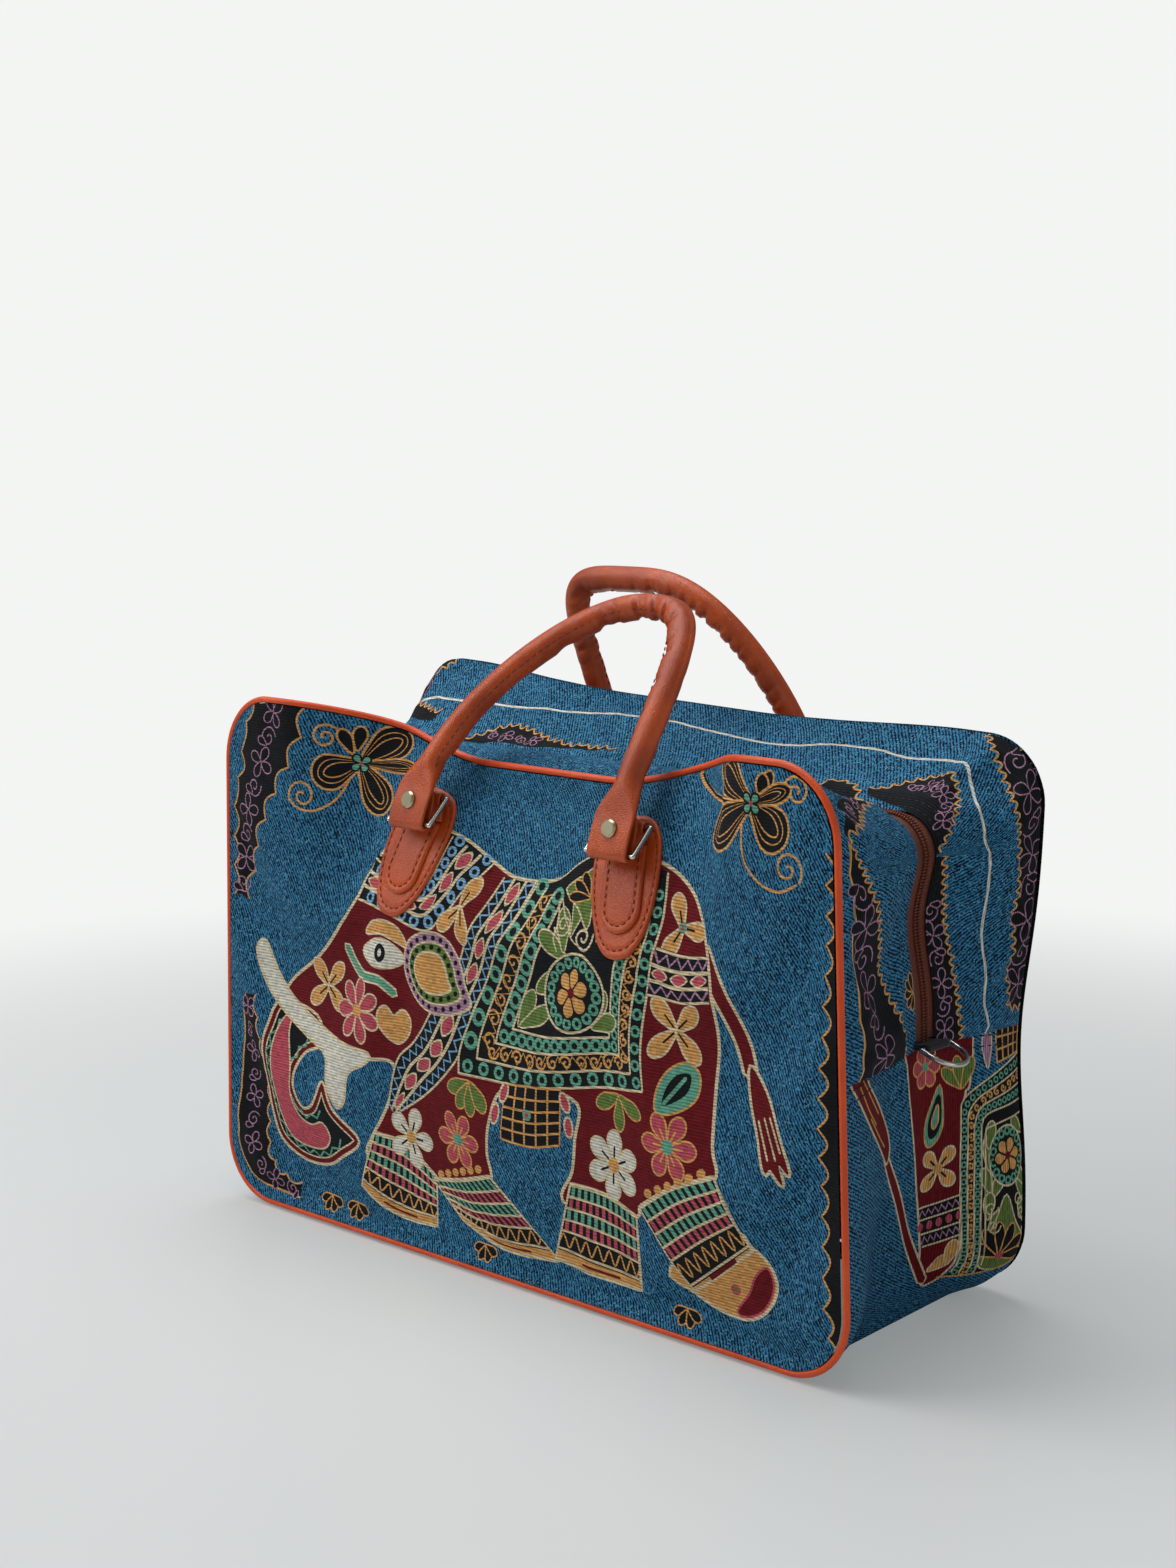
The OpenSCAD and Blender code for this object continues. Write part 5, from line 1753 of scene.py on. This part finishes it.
@dataclass
class Handles:
    """Two rolled leather handles whose flat ends fold round the rings."""

    finish: Finishes
    tabs: Tabs
    rise: Pair = (116, 122)
    slope: Pair = (0.26, 0.14)
    bend: Pair = (0.0043, 0.0011)
    sway: Pair = (24, -40)
    square: Pair = (0.85, 0.52)
    ring_reach: float = 18
    ring_dip: float = 45
    roll_d: float = 14
    strap_w: float = 26
    strap_t: float = 2.2
    tip_up: float = 22
    flat_up: float = 16
    roll_up: float = 36
    fold_r: float = 2.7
    pucker: float = 1.25
    sides: int = 40

    def bar(self, side: Side) -> Space:
        """Middle of the rings' outer bars, without its place along X."""
        foot, up, out = self.tabs.frame(side, Hand.RIGHT)
        eye_up, eye_out = self.tabs.eye
        eye = foot * [0, 1, 1] + up * eye_up + out * eye_out
        dip = math.radians(self.ring_dip)
        return eye + self.ring_reach * np.array([0, side.value * math.cos(dip), -math.sin(dip)])

    @property
    def half_span(self) -> float:
        """Distance of a handle's feet from the middle of the bag."""
        return self.tabs.tab_x - math.sin(math.radians(self.tabs.splay)) * (self.tabs.patch_l / 2 - 18)

    def arch(self, side: Side, angle: Array) -> Space:
        """Points of a handle's middle line."""
        c, s = np.cos(angle), np.maximum(np.sin(angle), 0)
        up = FORM.of(self.rise, side) * s
        x = self.half_span * np.sign(c) * np.abs(c) ** FORM.of(self.square, side) + FORM.of(self.sway, side) * s ** 1.5
        bar = self.bar(side)
        inward = FORM.of(self.slope, side) * up + FORM.of(self.bend, side) * up ** 2
        return np.stack([x, bar[1] - side.value * inward, bar[2] + up], axis=-1)

    def section(self, centre: Space, across: Space, out: Space, a: float, b: float, square: float,
                ridge: float) -> Space:
        """One ring of a handle, from flat to round, with the raised seam of its inner side."""
        t = math.tau * (np.arange(self.sides) + 0.5) / self.sides
        c, s = np.cos(t), np.sin(t)
        x, y = a * np.sign(c) * np.abs(c) ** square, b * np.sign(s) * np.abs(s) ** square
        swell = 1 + ridge * np.exp(-((t - math.pi) / 0.2) ** 2)
        return centre + across * (x * swell)[:, None] + out * y[:, None]

    def wrinkled(self, ring: Space, centre: Space, bend: Space, round_share: float) -> Space:
        """Puckers a ring where the roll is bent: creases on the inner side of the bend that run out over its flanks."""
        arm = ring - centre
        sharp = float(np.linalg.norm(bend))
        inner = np.clip(0.6 + np.einsum("ij,j->i", unit(arm), bend / max(sharp, 1e-9)), 0, 1)
        slant = centre @ np.array([0.62, 0.35, -0.7]) + 0.35 * arm @ np.array([0.4, 0.8, 0.3])
        wave = np.sin(slant * 0.74 + 1.5 * np.sin(slant * 0.17)) + 0.45 * np.sin(slant * 1.6 + 1.0)
        depth = self.pucker * round_share * min(1.0, sharp / 0.011) * inner * np.maximum(wave, -0.35)
        return ring - unit(arm) * depth[:, None]

    def rings(self, side: Side) -> tuple[Space, Space, Space]:
        """Rings of a handle from its right tip to its left, and its seam with outward directions."""
        span = np.linspace(0, math.pi, 2001)
        run = run_of(self.arch(side, span))
        angles = np.interp(np.linspace(0, run[-1], 280), run, span)
        middle = self.arch(side, angles)
        bends = np.gradient(unit(np.gradient(middle, axis=0)), axis=0) / (run[-1] / (len(angles) - 1))
        rings, seam, lift = [], [], []
        for angle in angles:
            a = np.array([angle - 0.006, angle, angle + 0.006])
            p = self.arch(side, np.clip(a, 0, math.pi))
            up = FORM.of(self.rise, side) * max(0.0, math.sin(angle))
            tangent = unit(p[2] - p[0])
            normal = unit(np.array([0, side.value, FORM.of(self.slope, side) + 2 * FORM.of(self.bend, side) * up]))
            across = unit(np.cross(normal, tangent))
            out = np.cross(tangent, across)
            r = float(smooth((up - self.flat_up) / (self.roll_up - self.flat_up)))
            centre = p[1] + normal * self.fold_r * (1 - r)
            wide = self.strap_w / 2 + (self.roll_d / 2 - self.strap_w / 2) * r
            thick = self.strap_t / 2 + (self.roll_d / 2 - self.strap_t / 2) * r
            ring = self.section(centre, across, out, wide, thick, 0.35 + 0.65 * r, 0.22 * r)
            rings.append(self.wrinkled(ring, centre, bends[len(rings)], r))
            if r > 0.85:
                outer = across[2] >= 0 if abs(across[2]) > 0.2 else across[0] * p[1][0] > 0
                inner = -across if outer else across
                k = int(np.argmax(np.einsum("ij,j->i", ring - centre, unit(inner * 0.86 + out * 0.5))))
                seam.append(ring[k] + 0.1 * unit(ring[k] - centre))
                lift.append(unit(ring[k] - centre))
        ends = []
        for hand in (Hand.RIGHT, Hand.LEFT):
            bar = self.bar(side) + [hand.value * self.half_span, 0, 0]
            normal = unit(np.array([0, side.value, FORM.of(self.slope, side)]))
            up = unit(np.array([0, -side.value * FORM.of(self.slope, side), 1]))
            places = [(-self.fold_r, h, 0.0) for h in np.linspace(self.tip_up, 2, 8)]
            places += [(-self.fold_r * math.cos(t), -self.fold_r * math.sin(t), t)
                       for t in np.linspace(0, math.pi * 0.93, 12)]
            across = np.array([hand.value * side.value, 0, 0.0])
            rows = [self.section(bar + normal * n + up * h, across, -normal * math.cos(t) - up * math.sin(t),
                                 self.strap_w / 2 * (0.8 + 0.2 * float(smooth((self.tip_up - h) / 8))),
                                 self.strap_t / 2, 0.35, 0) for n, h, t in places]
            ends.append(rows if hand is Hand.RIGHT else rows[::-1])
        return np.array(ends[0] + rings + ends[1]), np.array(seam), np.array(lift)

    def build(self) -> None:
        """Builds both handles with their seams, and dresses their rivets."""
        for side in Side:
            name = f"{side.word}_handle"
            rings, seam, lift = self.rings(side)
            piece(f"{name}_leather", loft(rings, True, caps=True), self.finish.rolled, name, name)
            piece(f"{name}_stitches", stitches([seam], [lift], HANDLE_STITCH), self.finish.thread, name)
            for hand in Hand:
                dress_node(f"{side.word}_{hand.word}_rivet", self.finish.cap)


@dataclass
class Zip:
    """Coil zip: two tapes, two coils, two sliders with pulls, and the top-stitching beside it."""

    finish: Finishes
    coil_w: float = 2.4
    coil_h: float = 2.0
    tape_t: float = 0.9
    foot_v: float = 145.4
    pitch: float = 1.6

    def path(self, grow: float, step: float) -> tuple[Space, Space]:
        """Points along the zip's path and their outward directions, from right to left.

        Args:
            grow: Distance outside the tape's face.
            step: Distance between points.

        Returns:
            Points in the plane between the two coils, and unit directions.
        """
        half, r = FORM.zip_w / 2 + grow, FORM.zip_r + grow
        top = FORM.zip_top + grow
        arc = np.linspace(0, math.pi / 2, 16)
        right = np.stack([half - r + r * np.cos(arc), top - r + r * np.sin(arc)], axis=1)
        flat = np.vstack([[[half, self.foot_v]], right, (right * [-1, 1])[::-1], [[-half, self.foot_v]]])
        p = along(flat, int(length(flat) / step) + 1)
        p[:, 0] -= np.sign(p[:, 0]) * FORM.dent(p[:, 1])
        d = unit(np.gradient(p, axis=0))
        out = np.stack([d[:, 1], np.zeros(len(p)), -d[:, 0]], axis=1)
        return np.stack([p[:, 0], np.full(len(p), FORM.zip_back), FORM.base_lift + p[:, 1]], axis=1), out

    def build(self) -> None:
        """Builds the tapes, coils and stitching, and dresses the sliders and pulls."""
        for side in Side:
            name = side.word
            p, out = self.path(-self.tape_t / 2, 5.0)
            y = side.value * np.linspace(FORM.zip_slit, FORM.zip_slit + FORM.tape_w, 7)
            ripple = 0.15 * np.cos(np.linspace(0, 6, 7))
            rings = p[:, None] + y[None, :, None] * np.array([0, 1, 0.0]) + out[:, None] * ripple[None, :, None]
            tape = piece(f"{name}_zip_tape_cloth", thicken(loft(rings, False), 0.7), self.finish.tape, "bag",
                         f"{name}_zip_tape")
            p, out = self.path(self.coil_h / 2, self.pitch)
            bm = bmesh.new()
            for place, up in zip(p, out):
                run = np.cross([0, 1, 0], up)
                turn = Matrix((Vector(run), Vector((0, 1, 0)), Vector(up))).transposed().to_4x4()
                at = Vector(place) + Vector((0, side.value * (FORM.zip_slit + self.coil_w / 2 - 0.1), 0))
                size = Matrix.Diagonal((0.66 * MM, (self.coil_w / 2 + 0.1) * MM, self.coil_h / 2 * MM, 1))
                bmesh.ops.create_icosphere(bm, subdivisions=1, radius=1.0,
                                           matrix=Matrix.Translation(at * MM) @ turn @ size)
            piece(f"{name}_zip_coil_teeth", bm, self.finish.coil, "bag", f"{name}_zip_coil")
            self.top_stitching(side)
        for hand in Hand:
            dress_node(f"{hand.word}_zip_slider", self.finish.enamel)
            dress_node(f"{hand.word}_zip_pull", self.finish.enamel)

    def top_stitching(self, side: Side) -> None:
        """Builds the two rows of stitches on a strip beside the zip."""
        start, end = FORM.above
        s = np.linspace(start + 2, end - 2, 300)
        rows, lift = [], []
        for t in (0.955, 0.885):
            q = np.stack([s, np.full(300, t)], axis=1)
            p = FORM.strip(side, q)
            along_s = np.gradient(p, axis=0)
            over = FORM.strip(side, q + [0, 0.02]) - p
            n = unit(np.cross(along_s, over)) * (-side.value)
            rows.append(p + n * 0.25)
            lift.append(n)
        piece(f"{side.word}_zip_top_stitches", stitches(rows, lift, CLOTH_STITCH), self.finish.dark_thread,
              "bag")


@dataclass
class EndLoops:
    """Black webbing loops at the zip's ends, with their D-rings."""

    finish: Finishes
    web_w: float = 19
    web_t: float = 1.3
    wire_r: float = 1.4

    def build(self) -> None:
        """Builds both loops and dresses the rings."""
        x0 = FORM.zip_w / 2 + 2 + 4 + self.wire_r
        z0 = FORM.base_lift + FORM.seam_v + FORM.gap + self.web_t
        inside, r = FORM.zip_w / 2 - 6, self.wire_r + 0.2 + self.web_t / 2
        arc = np.linspace(-math.pi * 0.78, math.pi * 0.78, 21)
        path = [(inside, -self.web_t / 2), (inside + 5, -self.web_t / 2)]
        path += [(x0 + r * math.cos(a), r * math.sin(a)) for a in arc]
        path += [(inside + 5, self.web_t / 2), (inside, self.web_t / 2)]
        p = along(np.array(path), 44)
        for hand in Hand:
            y = FORM.zip_back + np.linspace(-self.web_w / 2, self.web_w / 2, 9)
            rings = np.stack(np.broadcast_arrays(hand.value * p[:, None, 0], y[None, :], z0 + p[:, None, 1]), axis=-1)
            name = f"{hand.word}_web_loop"
            piece(f"{name}_webbing", thicken(loft(rings, False), 1.1), self.finish.webbing, "bag", name)
            dress_node(f"{hand.word}_d_ring", self.finish.steel)


@dataclass
class Studio:
    """Pale floor, soft light and the camera at the photograph's angle."""

    place: Triple = (0.8617, -0.9358, 0.4462)
    azimuth: float = 43.02
    pitch: float = 8.33
    roll: float = -0.36
    lens: float = 54.45

    def floor(self) -> None:
        """Builds the floor; camera rays see it partly as a pale glow, which far off is the even backdrop and near the
        bag is painted light that lifts the bag's shadow.
        """
        bm = bmesh.new()
        bmesh.ops.create_grid(bm, x_segments=8, y_segments=8, size=6.0)
        mesh = shaped("floor", bm)
        s = Shader("pale_floor")
        at = s.place()
        far = s.node("VectorMath", {"operation": "LENGTH"}, {0: at}, "Value").ramp(0.34, 1.1)
        seen = s.node("LightPath", None, None, "Is Camera Ray")
        tone = s.noise(at, 3.0, 2.0)
        s.finish(Base_Color=s.mix(tone, (0.76, 0.78, 0.775, 1.0), (0.78, 0.79, 0.79, 1.0)),
                 Roughness=0.28, Specular_IOR_Level=0.35)
        board = s.tree.nodes["Principled BSDF"].outputs[0]
        tint = s.mix(far, (0.68, 0.72, 0.71, 1.0), (0.9, 0.91, 0.9, 1.0))
        backdrop_glow_and_shadow_lift = s.node("Emission", None, {"Color": tint, "Strength": 1.0})
        # Painted light: near the bag a 0.3 share of the glow lifts the floor's shadow for camera rays; far off the glow
        # alone gives the even pale backdrop
        blend = s.node("MixShader", None, {0: (0.3 + far * 0.7) * seen, 1: Value(s, board), 2: backdrop_glow_and_shadow_lift})
        s.shows(blend)
        mesh.materials.append(s.owner)
        linked("floor", mesh)

    def lamp(self, name: str, at: Triple, size: float, power: float, tint: Triple) -> None:
        """Adds a soft lamp that faces the bag."""
        data = bpy.data.lights.new(name, "AREA")
        data.size, data.energy, data.color = size, power, tint
        obj = linked(name, data)
        obj.location = at
        obj.rotation_euler = (Vector((0, 0, 0.16)) - Vector(at)).to_track_quat("-Z", "Y").to_euler()

    def world(self) -> None:
        """Sets the surrounding light: pale to the camera, softer on the bag."""
        s = Shader("studio", True)
        ray_kinds = [s.node("LightPath", None, None, f"Is {kind} Ray") for kind in ("Camera", "Transmission")]
        soft, pale = (s.node("Background", None, {"Color": tint, "Strength": power})
                      for tint, power in (((0.96, 0.98, 1, 1), 0.2), ((0.9, 0.91, 0.9, 1), 1.0)))
        s.shows(s.node("MixShader", None, {0: ray_kinds[0].maths("MAXIMUM", *ray_kinds), 1: soft, 2: pale}))
        bpy.context.scene.world = s.owner

    def camera(self) -> None:
        """Places the camera."""
        data = bpy.data.cameras.new("camera")
        data.lens, data.sensor_width, data.sensor_fit = self.lens, 36.0, "AUTO"
        obj = linked("camera", data)
        about_z, about_x, rolled = (Matrix.Rotation(math.radians(angle), 4, axis) for angle, axis in (
            (self.azimuth, "Z"), (90 - self.pitch, "X"), (self.roll, "Z")))
        obj.matrix_world = Matrix.Translation(self.place) @ (about_z @ about_x) @ rolled
        bpy.context.scene.camera = obj

    def build(self) -> None:
        """Builds the stage."""
        self.floor()
        self.lamp("key", (-1.2, -1.0, 1.4), 1.3, 18, (1.0, 0.99, 0.97))
        self.lamp("top", (-0.35, 0.1, 1.7), 1.3, 18, (0.98, 0.99, 1.0))
        self.lamp("side", (1.9, -0.3, 0.7), 1.2, 4.0, (0.98, 0.99, 1.0))
        self.world()
        self.camera()
        bpy.context.scene.view_settings.view_transform = "Standard"


def main() -> None:
    """Builds the scene in order."""
    logging.basicConfig(level=logging.INFO, format="%(message)s")
    finish = Finishes()
    Studio().build()
    Shell(finish).build()
    Piping(finish).build()
    tabs = Tabs(finish)
    tabs.build()
    Handles(finish, tabs).build()
    Zip(finish).build()
    EndLoops(finish).build()


if __name__ == "__main__":
    main()
